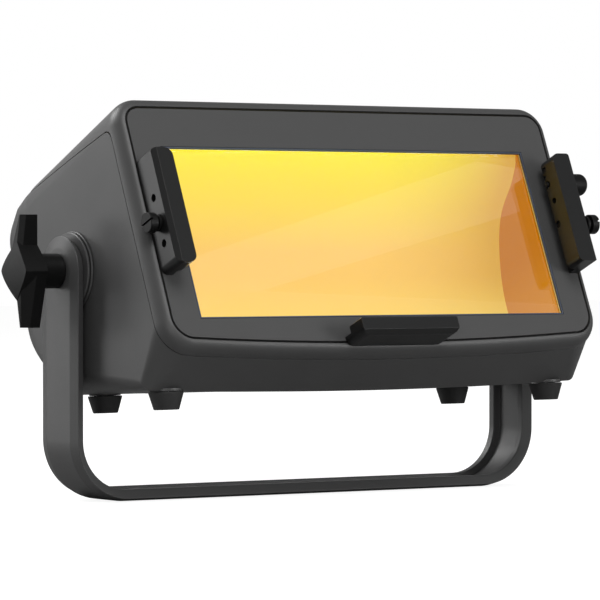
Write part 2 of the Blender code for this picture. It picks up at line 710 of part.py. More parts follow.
def build_thumb_screw(side, lift):
    """A slotted thumb screw. lift is how far it is backed out of the bracket."""
    name = "thumb_screw_" + ("left" if side < 0 else "right")
    seat = BRACKET_OUTER + GAP + lift
    origin = (side * seat, PIN_Y, SCREW_Z)
    tip = BRACKET_OUTER - BRACKET_W + 1.5 * MM - seat
    soft = 0.4 * MM
    profile = [(tip, 0), (tip, THREAD_R - 0.5 * MM), (tip + 0.5 * MM, THREAD_R), (0, THREAD_R)]
    profile += [(0, 6.8 * MM - soft), (soft, 6.8 * MM), (4.2 * MM, 6.8 * MM), (4.5 * MM, 6.8 * MM - soft)]
    profile += [(4.5 * MM, 5.6 * MM), (THUMB_NECK, 5.6 * MM), (THUMB_NECK, THUMB_R - soft)]
    profile += [(THUMB_NECK + soft, THUMB_R), (THUMB_HEAD - soft, THUMB_R), (THUMB_HEAD, THUMB_R - soft)]
    profile.append((THUMB_HEAD, 0))
    screw = node(name, turned(profile, "X", origin, 24, side), (0.04, 0.04, 0.04), housing_frame, origin)
    wide = THUMB_R + 1 * MM
    slot = box((-wide, wide), (-0.8 * MM, 0.8 * MM), (THUMB_HEAD - 1.4 * MM, THUMB_HEAD + 1 * MM))
    turn_shape(slot, 65, "Z")
    turn_shape(slot, 90 * side, "Y")
    cut(screw, name + "_slot", move_shape(slot, origin))


def build_latch():
    origin = (BRACKET_OUTER + GAP, PIN_Y, LATCH_Z)
    end = LATCH_STRAIGHT + LATCH_DOME
    profile = [(LATCH_BASE, 0), (LATCH_BASE, 5.2 * MM), (LATCH_BASE + 1.5 * MM, 8.6 * MM)]
    profile += [(LATCH_BASE + 2.5 * MM, LATCH_R), (LATCH_STRAIGHT, LATCH_R)]
    for degrees in (20, 40, 58, 74):
        turn = math.radians(degrees)
        profile.append((LATCH_STRAIGHT + LATCH_DOME * math.sin(turn), LATCH_R * math.cos(turn) ** 0.8))
    shape = turned(profile + [(end, 0)], "X", origin, 24)
    knob = node("latch_knob", shape, (0.03, 0.03, 0.03), housing_frame, origin)
    cut(knob, "latch_bore", rod(LATCH_PIN_R + GAP, LATCH_BASE - 1 * MM, 10 * MM, "X", origin, 20))
    tip = -BRACKET_W - GAP - 2.0 * MM
    pin = [(tip, 0), (tip, 1.4 * MM), (tip + 1 * MM, LATCH_PIN_R), (9.7 * MM, LATCH_PIN_R), (9.7 * MM, 0)]
    node("latch_pin", turned(pin, "X", origin, 20), (0.5, 0.5, 0.5), housing_frame, origin, metal=1)


# Feet and what is under the housing

def on_underside(shape, x, y):
    """Stands a shape on the underside at x, y, its Z along the underside's own normal."""
    place = Matrix.Translation((x, y, UNDER_FRONT_Z + math.tan(UNDER_LEAN) * (y - UNDER_FRONT_Y)))
    bmesh.ops.transform(shape, verts=shape.verts, matrix=place @ Matrix.Rotation(UNDER_LEAN, 4, "X"))
    return shape


def foot_places():
    return [(s * place[0], place[1]) for place in (FOOT_FRONT, FOOT_REAR) for s in (-1, 1)]


def service_shape(inset, low, high):
    """The service plate's rounded outline on the underside, drawn in by inset."""
    half = SERVICE_HALF_W - inset
    outline = rounded_box((-half, half), (SERVICE_Y[0] + inset, SERVICE_Y[1] - inset), [5 * MM] * 4, 3)
    return on_underside(plate(outline, "Z", low, high), 0, 0)


def build_feet():
    top = -FOOT_PAD - GAP
    low = top - FOOT_H
    sink = low + 7 * MM
    for (x, y), name in zip(foot_places(), ("front_left", "front_right", "rear_left", "rear_right")):
        profile = [(low, 0), (low, FOOT_LOW_R - 0.6 * MM), (low + 0.6 * MM, FOOT_LOW_R), (top - 0.6 * MM, FOOT_TOP_R)]
        profile += [(top, FOOT_TOP_R - 0.5 * MM), (top, 0)]
        shape = on_underside(turned(profile, "Z", steps=24), x, y)
        foot = node("foot_" + name, shape, (0.025, 0.025, 0.025), housing_frame)
        cut(foot, "foot_bore_" + name, on_underside(rod(FOOT_BORE_R, -30 * MM, 5 * MM, "Z", steps=12), x, y))
        cut(foot, "foot_sink_" + name, on_underside(rod(FOOT_SINK_R, -30 * MM, sink, "Z", steps=16), x, y))
        head = [(low + 4 * MM, 0), (low + 4 * MM, 4.6 * MM), (sink - 0.2 * MM, 4.6 * MM), (sink - 0.2 * MM, 2.5 * MM)]
        head += [(7.5 * MM, 2.5 * MM), (7.5 * MM, 0)]
        screw = on_underside(turned(head, "Z", steps=16), x, y)
        node("foot_screw_" + name, screw, (0.5, 0.5, 0.5), housing_frame, metal=1)


def build_service_plate():
    shape = service_shape(0.4 * MM, -2 * GAP, SERVICE_T - 2 * GAP)
    node("service_plate", shape, (0.045, 0.045, 0.047), housing_frame)


# Yoke and its clamps

def yoke_section():
    """The strip's section: depth inwards from its outer face, and width. Bevelled outside, a channel inside."""
    half = [(0, YOKE_FLAT), (YOKE_BEVEL, YOKE_HALF), (YOKE_T, YOKE_LIP), (YOKE_T, CHANNEL_HALF)]
    half.append((CHANNEL_FLOOR, CHANNEL_HALF - CHANNEL_DRAFT))
    return half + [(depth, -width) for depth, width in reversed(half)]


def yoke_path():
    """(x, z, direction of the inward normal) along the outer face, from the left arm's top to the right arm's."""
    path = [(-YOKE_OUTER, 40 * MM, 0.0)]
    centre = (-YOKE_OUTER + YOKE_CORNER, -PIVOT_Z + YOKE_CORNER)
    for i in range(13):
        turn = math.pi + math.pi / 2 * i / 12
        x, z = centre[0] + YOKE_CORNER * math.cos(turn), centre[1] + YOKE_CORNER * math.sin(turn)
        path.append((x, z, turn - math.pi))
    return path + [(-x, z, math.pi - turn) for x, z, turn in reversed(path)]


def build_yoke():
    sections = []
    for x, z, turn in yoke_path():
        sections.append([Vector((x + d * math.cos(turn), w, z + d * math.sin(turn))) for d, w in yoke_section()])
    yoke = node("yoke", loft(sections), (0.06, 0.06, 0.062), yoke_frame, smooth=25)
    far = 60 * MM
    ends = [(-far, 0), (-YOKE_HALF, 0)] + arc((0, 0), YOKE_HALF, 180, 0, 20)[1:-1]
    ends += [(YOKE_HALF, 0), (far, 0), (far, far), (-far, far)]
    reach = YOKE_OUTER + 10 * MM
    cut(yoke, "yoke_ends", plate(ends, "X", -reach, reach))
    inside = YOKE_OUTER - YOKE_T
    for side, name in ((-1, "left"), (1, "right")):
        boss = sorted((side * (YOKE_OUTER - CHANNEL_FLOOR + 0.5 * MM), side * inside))
        join(yoke, "boss_" + name, rod(BOSS_R, *boss, "X", steps=32))
    holes = [rod(STUD_R + 0.4 * MM, *sorted((side * (inside - 5 * MM), side * reach)), "X") for side in (-1, 1)]
    holes.append(rod(YOKE_BOLT_R, -PIVOT_Z - 5 * MM, -PIVOT_Z + YOKE_T + 5 * MM, "Z", steps=28))
    cut(yoke, "yoke_holes", merged(*holes))


def knob_body(side):
    """The knob's rhomb: upright sections between its two points, with convex flanks and a crowned front."""
    sections = []
    for i in range(13):
        z = KNOB_HALF_H * math.sin(math.pi / 2 * (i - 6) / 6)
        share = min(abs(z) / KNOB_HALF_H, 1)
        half = max(KNOB_HALF_W * (1 - share ** KNOB_CURVE), 0.5 * MM)
        front = YOKE_OUTER + KNOB_FRONT - KNOB_CROWN * share ** 2
        back = YOKE_OUTER + KNOB_BACK
        corners = [(back, -half), (front, -half), (front, half), (back, half)]
        sections.append([Vector((side * x, y, z)) for x, y in corners])
    return loft(sections)


def knob_wing(side, flip):
    """One wing: its section at the middle and at its tip, from the ridge round to the back."""
    middle = [(40.2, -0.1), (40.2, 11.1), (29.9, 19.0), (20.3, 19.0), (20.3, -2.8), (35.9, -2.8)]
    tip = [(34.7, -0.1), (34.7, 2.2), (29.3, 6.3), (20.3, 6.3), (20.3, -2.7), (30.6, -2.7)]
    points = []
    for height, section in ((0.5 * MM, middle), (WING_H, tip)):
        for out, y in section:
            points.append(Vector((side * (YOKE_OUTER + out * MM), y * MM * flip, height * flip)))
    return hull(points)


def build_knob(side):
    name = "left" if side < 0 else "right"
    knob = node("tilt_knob_" + name, knob_body(side), (0.012, 0.012, 0.012), yoke_frame, smooth=12)
    join(knob, "wing_up_" + name, knob_wing(side, 1))
    join(knob, "wing_down_" + name, knob_wing(side, -1))
    hub = sorted((side * (YOKE_OUTER + 0.4 * MM), side * (YOKE_OUTER + KNOB_BACK + GAP)))
    join(knob, "hub_" + name, rod(HUB_R, *hub, "X", steps=28))
    bore = sorted((side * (YOKE_OUTER - 5 * MM), side * (YOKE_OUTER + 14 * MM)))
    cut(knob, "bore_" + name, rod(STUD_R + 0.3 * MM, *bore, "X"))
    bevel(knob, 0.6 * MM, 1, 14)
    inside, outside = HALF_W - 14 * MM, YOKE_OUTER + 13.6 * MM
    stud = [(inside, 0), (inside, STUD_R - 1 * MM), (inside + 1 * MM, STUD_R), (outside, STUD_R), (outside, 0)]
    node("knob_stud_" + name, turned(stud, "X", (0, 0, 0), 24, side), (0.5, 0.5, 0.5), yoke_frame, metal=1)


def build_pivot(side):
    """The clamp between wall and yoke: a disc on each with a friction washer between, and a plate inside."""
    name = "left" if side < 0 else "right"

    def ring(label, outer, low, thick, colour, parent):
        shape = tube(outer, STUD_R + 0.4 * MM, *sorted((side * low, side * (low + thick))), "X")
        node(label + "_" + name, shape, colour, parent)
        return low + thick

    place = ring("pivot_disc", PIVOT_DISC_R, HALF_W + GAP, DISC_T, (0.08, 0.08, 0.08), housing_frame)
    place = ring("friction_washer", WASHER_R, place + SLIP, WASHER_T, (0.25, 0.2, 0.12), housing_frame)
    ring("yoke_disc", YOKE_DISC_R, place + SLIP, YOKE_DISC_T, (0.08, 0.08, 0.08), yoke_frame)
    inner = HALF_W - WALL - GAP
    outline = rounded_box((-34 * MM, 34 * MM), (-30 * MM, 30 * MM), [6 * MM] * 4, 3)
    shape = plate(outline, "X", *sorted((side * (inner - PIVOT_PLATE_T), side * inner)))
    pivot = node("pivot_plate_" + name, shape, (0.4, 0.4, 0.4), housing_frame, metal=1)
    bore = sorted((side * (inner - 9 * MM), side * (inner + 5 * MM)))
    cut(pivot, "pivot_bore_" + name, rod(STUD_R + 0.3 * MM, *bore, "X"))


# Optics

def build_reflector():
    half = WINDOW_HALF_W + SHEET_T
    line = [Vector((y * MM, z * MM)) for y, z in REFLECTOR]
    outer = []
    for i, point in enumerate(line):
        ahead = line[min(i + 1, len(line) - 1)] - line[max(i - 1, 0)]
        outer.append(point + Vector((-ahead.y, ahead.x)).normalized() * SHEET_T)
    outline = [tuple(p) for p in line] + [tuple(p) for p in reversed(outer)]
    shape = plate(outline, "X", -half, half)
    node("reflector", shape, (0.8, 0.8, 0.8), housing_frame, rough=0.25, metal=0.6, smooth=40)
    floor = WINDOW_LOW - RETAINER_LAP
    near = FRONT_Y + PLATE_T + GLASS_T + RETAINER_T + 4 * GAP
    end = [(near, floor), (near, WINDOW_TOP + 3.8 * MM)]
    end += [tuple(p + Vector((1.5 * MM, 0))) for p in line[1:-1]] + [(-37 * MM, floor)]
    for side, name in ((-1, "left"), (1, "right")):
        shape = plate(end, "X", *sorted((side * (half + GAP), side * (half + GAP + SHEET_T))))
        node("reflector_end_" + name, shape, (0.75, 0.75, 0.75), housing_frame, rough=0.3, metal=0.5)


def build_led_engine():
    top = LED_Z + LED_T
    board = node("led_board", box((-LED_HALF_W, LED_HALF_W), LED_Y, (LED_Z, top)), (0.9, 0.9, 0.88), housing_frame)
    chips = []
    count = int(2 * LED_HALF_W // LED_STEP)
    for i in range(count):
        x = (i - (count - 1) / 2) * LED_STEP
        for y in LED_ROWS:
            chips.append(rod(4.5 * MM, top - GAP, top + 2.6 * MM, "Z", (x, y, 0), 6, 3 * MM))
    join(board, "led_emitters", merged(*chips))
    half = LED_HALF_W + 2 * MM
    root, low = LED_Z - GAP, LED_Z - GAP - SINK_T
    comb = [(-half, root), (-half, low)]
    count = int((2 * half - 2 * MM) // FIN_STEP) + 1
    for i in range(count):
        x = (i - (count - 1) / 2) * FIN_STEP
        comb += [(x - FIN_ROOT, low), (x - FIN_TIP, low - FIN_H), (x + FIN_TIP, low - FIN_H), (x + FIN_ROOT, low)]
    comb += [(half, low), (half, root)]
    node("led_heat_sink", plate(comb, "Y", *SINK_Y), (0.5, 0.5, 0.52), housing_frame, metal=1, smooth=0)


# Electronics, fan and rear panel

def build_electronics():
    supply = node("power_supply", box(PSU_X, PSU_Y, PSU_Z), (0.55, 0.56, 0.57), housing_frame, metal=0.9)
    bevel(supply, 1.2 * MM, 1)
    slits = []
    deep, long = (PSU_Z[1] - 2 * MM, PSU_Z[1] + 1 * MM), (PSU_Y[0] + 10 * MM, PSU_Y[1] - 10 * MM)
    for i in range(int((PSU_X[1] - PSU_X[0] - 16 * MM) // (10 * MM))):
        x = PSU_X[0] + (8 + 10 * i) * MM
        slits.append(box((x, x + 4 * MM), long, deep))
    cut(supply, "supply_slits", merged(*slits))
    top = BOARD_Z + BOARD_T
    board = node("driver_board", box(BOARD_X, BOARD_Y, (BOARD_Z, top)), (0.03, 0.12, 0.06), housing_frame)
    # Left, front, width, depth and height of each part on the board, from its left front corner
    parts = [(20, 22, 22, 22, 18), (60, 42, 30, 18, 12), (100, 17, 26, 26, 8), (145, 32, 14, 40, 16)]
    parts += [(160, 14, 28, 16, 10), (35, 64, 40, 10, 11), (95, 64, 18, 14, 5)]
    blocks = []
    for left, front, width, depth, height in parts:
        x, y = BOARD_X[0] + left * MM, BOARD_Y[0] + front * MM
        blocks.append(box((x, x + width * MM), (y, y + depth * MM), (top - 0.4 * MM, top + height * MM)))
    join(board, "driver_parts", merged(*blocks))


def fan_blade(low, high):
    """One blade: a grid bent into a twisted sheet, thickened by Solidify."""
    grid = bmesh.new()
    bmesh.ops.create_grid(grid, x_segments=2, y_segments=3, size=1)
    root = FAN_HUB_R - 1.3 * MM
    for vert in grid.verts:
        across, along = (vert.co.x + 1) / 2, vert.co.y
        radius = root + (BLADE_R - root) * across
        lean = 0.55 + 0.4 * across
        turn = along * 8.0 * MM * math.sin(lean) / radius + 0.06 * along ** 2
        height = (low + high) / 2 + along * 7.4 * MM * math.cos(lean)
        vert.co = (radius * math.cos(turn), height, radius * math.sin(turn))
    data = bpy.data.meshes.new("blade")
    grid.to_mesh(data)
    grid.free()
    return evaluated(data, Matrix.Identity(4), [("SOLIDIFY", {"thickness": 1.4 * MM, "offset": 0})])


def build_fan():
    at = (FAN_X, 0, FAN_Z)
    far = REAR_Y - 6 * MM
    near = far - FAN_T
    outline = rounded_box((FAN_X - FAN_HALF, FAN_X + FAN_HALF), (FAN_Z - FAN_HALF, FAN_Z + FAN_HALF), [4 * MM] * 4, 3)
    frame = node("fan_frame", plate(outline, "Y", near, far), (0.03, 0.03, 0.03), housing_frame)
    cut(frame, "fan_bore", rod(FAN_BORE_R, near - 2 * MM, far + 2 * MM, "Y", at, 40))
    join(frame, "fan_hub", rod(FAN_HUB_R + 0.5 * MM, near, near + 3 * MM, "Y", at))
    span = (FAN_HUB_R - 1.5 * MM, FAN_BORE_R + 1.4 * MM)
    for i in range(4):
        arm = box(span, (near + 0.2 * MM, near + 2.8 * MM), (-2 * MM, 2 * MM))
        join(frame, "fan_arm_%d" % i, move_shape(turn_shape(arm, 45 + 90 * i, "Y"), at))
    low, high = near + 3.6 * MM, far - 1.2 * MM
    profile = [(low, 0), (low, FAN_HUB_R), (high - 1.5 * MM, FAN_HUB_R), (high, FAN_HUB_R - 1.5 * MM), (high, 0)]
    origin = (FAN_X, (low + high) / 2, FAN_Z)
    rotor = node("fan_rotor", turned(profile, "Y", at, 28), (0.02, 0.02, 0.02), housing_frame, origin)
    for i in range(BLADES):
        blade = turn_shape(fan_blade(low, high), 360 * i / BLADES, "Y")
        join(rotor, "fan_blade_%d" % i, move_shape(blade, at))


def build_socket(name, x, z, colour, pins):
    """A chassis connector: a square flange outside the panel, a barrel through it and an open mouth."""
    face = REAR_Y + GAP + PANEL_T
    at = (x, 0, z)
    flange = rounded_box((x - 13 * MM, x + 13 * MM), (z - 15.5 * MM, z + 15.5 * MM), [2.5 * MM] * 4, 2)
    socket = node(name, plate(flange, "Y", face + GAP, face + 2.6 * MM), colour, housing_frame)
    join(socket, name + "_barrel", rod(BARREL_R, face - 20 * MM, face + 4.6 * MM, "Y", at, 20))
    cut(socket, name + "_mouth", rod(MOUTH_R, face - 12 * MM, face + 9 * MM, "Y", at, 20))
    shapes = []
    for i in range(pins):
        turn = 2 * math.pi * i / pins + 0.6
        place = (x + 5.2 * MM * math.cos(turn), 0, z + 5.2 * MM * math.sin(turn))
        shapes.append(rod(1.2 * MM, face - 13 * MM, face - 6 * MM, "Y", place, 8))
    join(socket, name + "_pins", merged(*shapes))


def build_rear_panel():
    low, high = REAR_Y + GAP, REAR_Y + GAP + PANEL_T
    through = (low - 3 * MM, high + 3 * MM)
    panel = node("rear_panel", plate(rounded_box(PANEL_X, PANEL_Z, [3 * MM] * 4, 3), "Y", low, high),
                 (0.03, 0.03, 0.032), housing_frame)
    middle = (PANEL_Z[0] + PANEL_Z[1]) / 2
    places = [PANEL_X[0] + SOCKET_FIRST + SOCKET_STEP * i for i in range(4)]
    holes = [rod(BARREL_R + 0.4 * MM, *through, "Y", (x, 0, middle), 20) for x in places]
    screen = PANEL_X[0] + SCREEN_AT
    wide = SCREEN_HALF + 0.4 * MM
    holes.append(box((screen - wide, screen + wide), through, (middle + 3 * MM, middle + 25 * MM)))
    keys = [screen + (i - 1.5) * KEY_STEP for i in range(4)]
    holes += [rod(KEY_R + 0.4 * MM, *through, "Y", (x, 0, middle - 15 * MM), 12) for x in keys]
    cut(panel, "panel_holes", merged(*holes))
    sockets = [("power_inlet", (0.03, 0.06, 0.2), 3), ("power_outlet", (0.3, 0.3, 0.3), 3)]
    sockets += [("data_inlet", (0.03, 0.03, 0.03), 5), ("data_outlet", (0.05, 0.05, 0.05), 5)]
    for x, (name, colour, pins) in zip(places, sockets):
        build_socket(name, x, middle, colour, pins)
    wide = (screen - SCREEN_HALF, screen + SCREEN_HALF)
    window = box(wide, (low, high + 0.3 * MM), (middle + 3.4 * MM, middle + 24.6 * MM))
    node("display_window", window, (0.01, 0.01, 0.02), housing_frame, rough=0.1)
    for i, x in enumerate(keys):
        profile = [(low - 2 * MM, 0), (low - 2 * MM, KEY_R), (high + 1.2 * MM, KEY_R)]
        profile += [(high + 1.6 * MM, KEY_R - 0.5 * MM), (high + 1.6 * MM, 0)]
        shape = turned(profile, "Y", (x, 0, middle - 15 * MM), 12)
        node("menu_button_%d" % (i + 1), shape, (0.2, 0.2, 0.2), housing_frame, (x, high, middle - 15 * MM))


def build_safety_eye():
    centre = (0, REAR_Y + EYE_R + 1.0 * MM, FAN_Z)
    eye = tube(EYE_R, EYE_HOLE_R, EYE_X - 2.5 * MM, EYE_X + 2.5 * MM, "X", centre, 24)
    bond = node("safety_eye", eye, (0.4, 0.4, 0.4), housing_frame, metal=1)
    wide, tall = (EYE_X - 6.5 * MM, EYE_X + 6.5 * MM), (FAN_Z - 13 * MM, FAN_Z + 13 * MM)
    foot = box(wide, (REAR_Y + GAP, REAR_Y + 2.4 * MM), tall)
    join(bond, "eye_foot", foot)


inner_space = helper("inner_space", housing_solid(WALL), housing_frame)
build_yoke()
for hand in (-1, 1):
    build_knob(hand)
    build_pivot(hand)
build_hood()
build_base()
build_window()
build_side_bracket(-1)
build_side_bracket(1)
build_bottom_bracket()
build_thumb_screw(-1, 0.0)
build_thumb_screw(1, 9.0 * MM)
build_latch()
build_feet()
build_service_plate()
build_reflector()
build_led_engine()
build_electronics()
build_fan()
build_rear_panel()
build_safety_eye()
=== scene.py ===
import math

import bmesh
import bpy
from mathutils import Matrix, Vector


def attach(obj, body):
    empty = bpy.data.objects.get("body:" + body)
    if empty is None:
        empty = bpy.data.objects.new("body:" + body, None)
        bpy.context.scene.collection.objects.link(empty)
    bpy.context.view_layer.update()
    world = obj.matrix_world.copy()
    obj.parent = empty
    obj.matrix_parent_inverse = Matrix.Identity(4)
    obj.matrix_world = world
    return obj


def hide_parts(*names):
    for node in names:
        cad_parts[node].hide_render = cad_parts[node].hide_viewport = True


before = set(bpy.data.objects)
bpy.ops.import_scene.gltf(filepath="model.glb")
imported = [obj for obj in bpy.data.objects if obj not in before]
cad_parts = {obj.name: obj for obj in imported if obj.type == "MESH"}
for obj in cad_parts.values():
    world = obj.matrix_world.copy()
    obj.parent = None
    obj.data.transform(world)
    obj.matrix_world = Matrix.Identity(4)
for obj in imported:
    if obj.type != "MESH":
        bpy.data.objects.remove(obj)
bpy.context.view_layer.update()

# Lengths are in millimetres, from the tilt axis. Y runs back and Z up, along the housing's own faces.
TILT = math.radians(23.64)
PIVOT_Z = 184.0
YOKE_PLACE = Matrix.Scale(0.001, 4) @ Matrix.Translation((0, 0, PIVOT_Z))
HOUSING_PLACE = YOKE_PLACE @ Matrix.Rotation(-TILT, 4, "X")

HALF_W = 212.2
FRONT_Y = -108.2
REAR_Y = 106.0
TOP_FRONT_Z = 104.26
TOP_SLOPE = -0.0345
REAR_FALL = -0.655
REAR_FALL_Y = 50.0
REAR_FALL_BLEND = 7.0
REAR_EDGE_R = 6.0
UNDER_FRONT_Y = -59.0
UNDER_FRONT_Z = -126.7
UNDER_REAR_Y = 65.0
UNDER_LEAN = math.radians(20.2)
LIP_Y = FRONT_Y + 13.3
LIP_Z = -112.6
REAR_LOW_Z = -20.0
WALL = 3.0
LEDGE = 7.0
SEAM = 0.7
SEAM_FRONT_Z = 80.4
SEAM_TURNS = [((52.0, 89.5), 9), ((66.0, 83.5), 5), ((84.1, 71.6), 4), ((101.0, 46.5), 4)]
FRONT_ROLL = 9.0
EDGE_R = 24.0
TOP_REAR_R = 11.0
TOP_REAR_Y = 66.0
REAR_R = 28.0
BOW = 6.1
BOW_LOSS = 1.8
BOW_RUN = 120.0
LOW_R_LIP, LOW_R_UNDER, LOW_R_REAR = 27.0, 9.0, 24.0
LOW_R_FULL_Y = 50.0
SECTION_R_MIN = 4.0
GAP = 0.3
CUT_FRONT, CUT_BACK, CUT_LOW, CUT_HIGH, CUT_SIDE = -300.0, REAR_Y + 100, -300.0, 300.0, 400.0

GROOVE_HALF_W = 203.5
GROOVE_TOP = 93.8
GROOVE_LOW = -103.2
GROOVE = 1.9
PLATE_BOW = 5.8
PLATE_T = 3.0
PLATE_LOW_R, PLATE_TOP_R = 18.0, 13.2
HOOD_LEDGE_IN = 6.0
WINDOW_HALF_W = 176.1
WINDOW_TOP = 58.7
WINDOW_LOW = -85.6
GLASS_T = 3.0
GASKET_W = 1.0
PANE_GROW = 6.0
PANE_STEP_IN = 0.15
PANE_STEP_Y = FRONT_Y + 2.2

BRACKET_DEPTH = 27.0
BRACKET_OUTER = 203.7
BRACKET_W = 17.5
BRACKET_TOP = 46.7
BRACKET_LOW = -50.4
SLOT_DEPTH = 7.8
SLOT_W = 8.7
BOTTOM_HALF = 46.7
BOTTOM_TOP = -98.6
BOTTOM_H = 13.7
PIN_Y = FRONT_Y - 11.8
SCREW_Z = -11.2
LATCH_Z = 24.8
CHAMFER = 3.6
BRACKET_EDGE = 0.45
HOLE_R, SMALL_HOLE_R = 3.2, 2.5
LEFT_HOLES = (20.6, -17.8)
NOTCHES = ((35.5, 5.5), (29.0, 3.0))
NOTCH_H = 4.5

SCREW_R = 2.9
SCREW_TIP_IN = 1.5
THREAD_PITCH, THREAD_DEPTH = 0.75, 0.35
COLLAR_R, COLLAR_END = 6.9, 2.5
NECK_R, NECK_END = 4.9, 4.2
THUMB_R, THUMB_END = 8.1, 11.0
THUMB_SLOT_HALF, THUMB_SLOT_DEPTH, THUMB_SLOT_TURN = 0.9, 2.0, 90
RIGHT_SCREW_LIFT = 9.0
LATCH_R, LATCH_START, LATCH_DRUM_END, LATCH_DOME = 9.2, 3.0, 14.5, 5.7
LATCH_DOME_POWER = 0.8
LATCH_BORE_R = 2.7

YOKE_OUTER = 226.9
YOKE_FLAT = 18.2
YOKE_HALF = 28.1
YOKE_BEVEL = 2.3
YOKE_T = 9.5
YOKE_LIP = 23.5
CHANNEL_HALF = 16.9
CHANNEL_FLOOR = 4.3
YOKE_CORNER = 49.5
YOKE_BOLT_R = 6.5
CHANNEL_LEAN = 1.7
YOKE_SOFT = 0.7
YOKE_PAD_R = 14.5
ARM_STEP, BEND_STEPS, BAR_STEP, END_STEPS = 20.0, 40, 30.0, 72
STUD_R = 4.9

KNOB_BACK, KNOB_FRONT, KNOB_CROWN = 20.3, 40.5, 2.9
KNOB_HALF_Z, KNOB_HALF_Y = 23.2, 19.6
KNOB_SLICES = 33
WING_Z, WING_ROOT_Z = 44.8, 0.5
WING_ROOT = [(40.2, -0.1), (40.2, 11.1), (29.9, 19.0), (20.3, 19.0), (20.3, -2.8), (35.9, -2.8)]
WING_TIP = [(34.7, -0.1), (34.4, 1.4), (33.4, 3.2), (29.3, 6.3), (20.3, 6.3), (20.3, -2.7), (30.6, -2.7)]
HUB_R, HUB_START, HUB_END = 13.9, 0.4, 20.6
PIVOT_DISC_R, YOKE_DISC_R, WASHER_R = 31.6, 30.6, 26.0

FOOT_H = 14.0
FOOT_TOP_R = 13.9
FOOT_LOW_R = 10.3
FOOT_FRONT = (186.2, -51.5)
FOOT_REAR = (173.2, 55.4)
FOOT_SEAT = -1.3
FOOT_WELL_R, FOOT_WELL_H = 5.4, 7.0
FOOT_BORE_R = 2.8
FOOT_SCREW_R, FOOT_SCREW_END = 2.5, 7.5
FOOT_HEAD_R = 4.6
BOSS_R, BOSS_LOW, BOSS_TOP = 12.8, -1.0, 1.5

FAN_X, FAN_Z = 100.0, 16.0
FAN_SLOTS, FAN_SLOT_PITCH = 8, 7.5
FAN_SLOT_HALF_X, FAN_SLOT_HALF_Z, FAN_SLOT_R = 2.0, 24.0, 1.9
PANEL_X, PANEL_Z = (-172.0, 28.0), (-14.0, 40.0)
PANEL_SEAT = 4.0
SERVICE_HALF_W, SERVICE_FRONT, SERVICE_BACK, SERVICE_R = 150.0, -38.0, 40.0, 5.0
SERVICE_RIM, SERVICE_GAP = 10.0, 0.4


# Shapes, each a closed bmesh

AXES = {"X": ((1, 0, 0), (0, 1, 0), (0, 0, 1)), "Y": ((0, 1, 0), (0, 0, 1), (1, 0, 0)),
        "Z": ((0, 0, 1), (1, 0, 0), (0, 1, 0))}


def prism(outline, axis, low, high):
    """A closed outline pushed along an axis. Its pairs are (y, z), (x, z) or (x, y)."""
    bm = bmesh.new()

    def place(p, t):
        return {"X": (t, p[0], p[1]), "Y": (p[0], t, p[1]), "Z": (p[0], p[1], t)}[axis]

    rings = [[bm.verts.new(place(p, t)) for p in outline] for t in (low, high)]
    bm.faces.new(rings[0])
    bm.faces.new(reversed(rings[1]))
    for i in range(len(outline)):
        j = (i + 1) % len(outline)
        bm.faces.new((rings[0][i], rings[1][i], rings[1][j], rings[0][j]))
    bmesh.ops.recalc_face_normals(bm, faces=bm.faces)
    return bm


def block(x, y, z):
    return prism([(x[0], y[0]), (x[1], y[0]), (x[1], y[1]), (x[0], y[1])], "Z", z[0], z[1])


def turned(profile, axis, centre=(0, 0, 0), steps=64, sign=1, ring=False):
    """A lathe shape. The profile is (along, radius) pairs. A ring's profile closes on itself."""
    bm = bmesh.new()
    ahead, side, up = (Vector(v) for v in AXES[axis])
    rings = []
    for along, radius in profile:
        at = Vector(centre) + ahead * along * sign
        if radius < 1e-6:
            rings.append([bm.verts.new(at)])
            continue
        turns = [2 * math.pi * i / steps for i in range(steps)]
        spots = [at + side * radius * math.cos(t) + up * radius * math.sin(t) for t in turns]
        rings.append([bm.verts.new(spot) for spot in spots])
    pairs = list(zip(rings, rings[1:]))
    if ring:
        pairs.append((rings[-1], rings[0]))
    for a, b in pairs:
        for i in range(steps):
            j = (i + 1) % steps
            corners = [a[i % len(a)], a[j % len(a)], b[j % len(b)], b[i % len(b)]]
            kept = [v for n, v in enumerate(corners) if v not in corners[:n]]
            if len(kept) > 2:
                bm.faces.new(kept)
    if not ring:
        for end in (rings[0], rings[-1]):
            if len(end) > 1:
                bm.faces.new(end)
    bmesh.ops.recalc_face_normals(bm, faces=bm.faces)
    return bm


def rod(radius, low, high, axis, centre=(0, 0, 0), steps=40):
    return turned([(low, radius), (high, radius)], axis, centre, steps)


def washer(outer, inner, low, high, axis, edge):
    """A flat ring with softly broken outer edges."""
    profile = [(low, inner), (low, outer - edge), (low + edge, outer), (high - edge, outer)]
    profile += [(high, outer - edge), (high, inner)]
    return turned(profile, axis, steps=96, ring=True)


def loft(sections):
    bm = bmesh.new()
    rings = [[bm.verts.new(p) for p in section] for section in sections]
    for a, b in zip(rings, rings[1:]):
        for i in range(len(a)):
            j = (i + 1) % len(a)
            bm.faces.new((a[i], a[j], b[j], b[i]))
    bm.faces.new(rings[0])
    bm.faces.new(rings[-1])
    bmesh.ops.recalc_face_normals(bm, faces=bm.faces)
    return bm


def hull(points):
    bm = bmesh.new()
    for point in points:
        bm.verts.new(point)
    bmesh.ops.convex_hull(bm, input=bm.verts)
    bmesh.ops.delete(bm, geom=[v for v in bm.verts if not v.link_faces], context="VERTS")
    flat = [e for e in bm.edges if len(e.link_faces) == 2 and e.calc_face_angle() < 0.01]
    bmesh.ops.dissolve_edges(bm, edges=flat, use_verts=False)
    bmesh.ops.recalc_face_normals(bm, faces=bm.faces)
    return bm


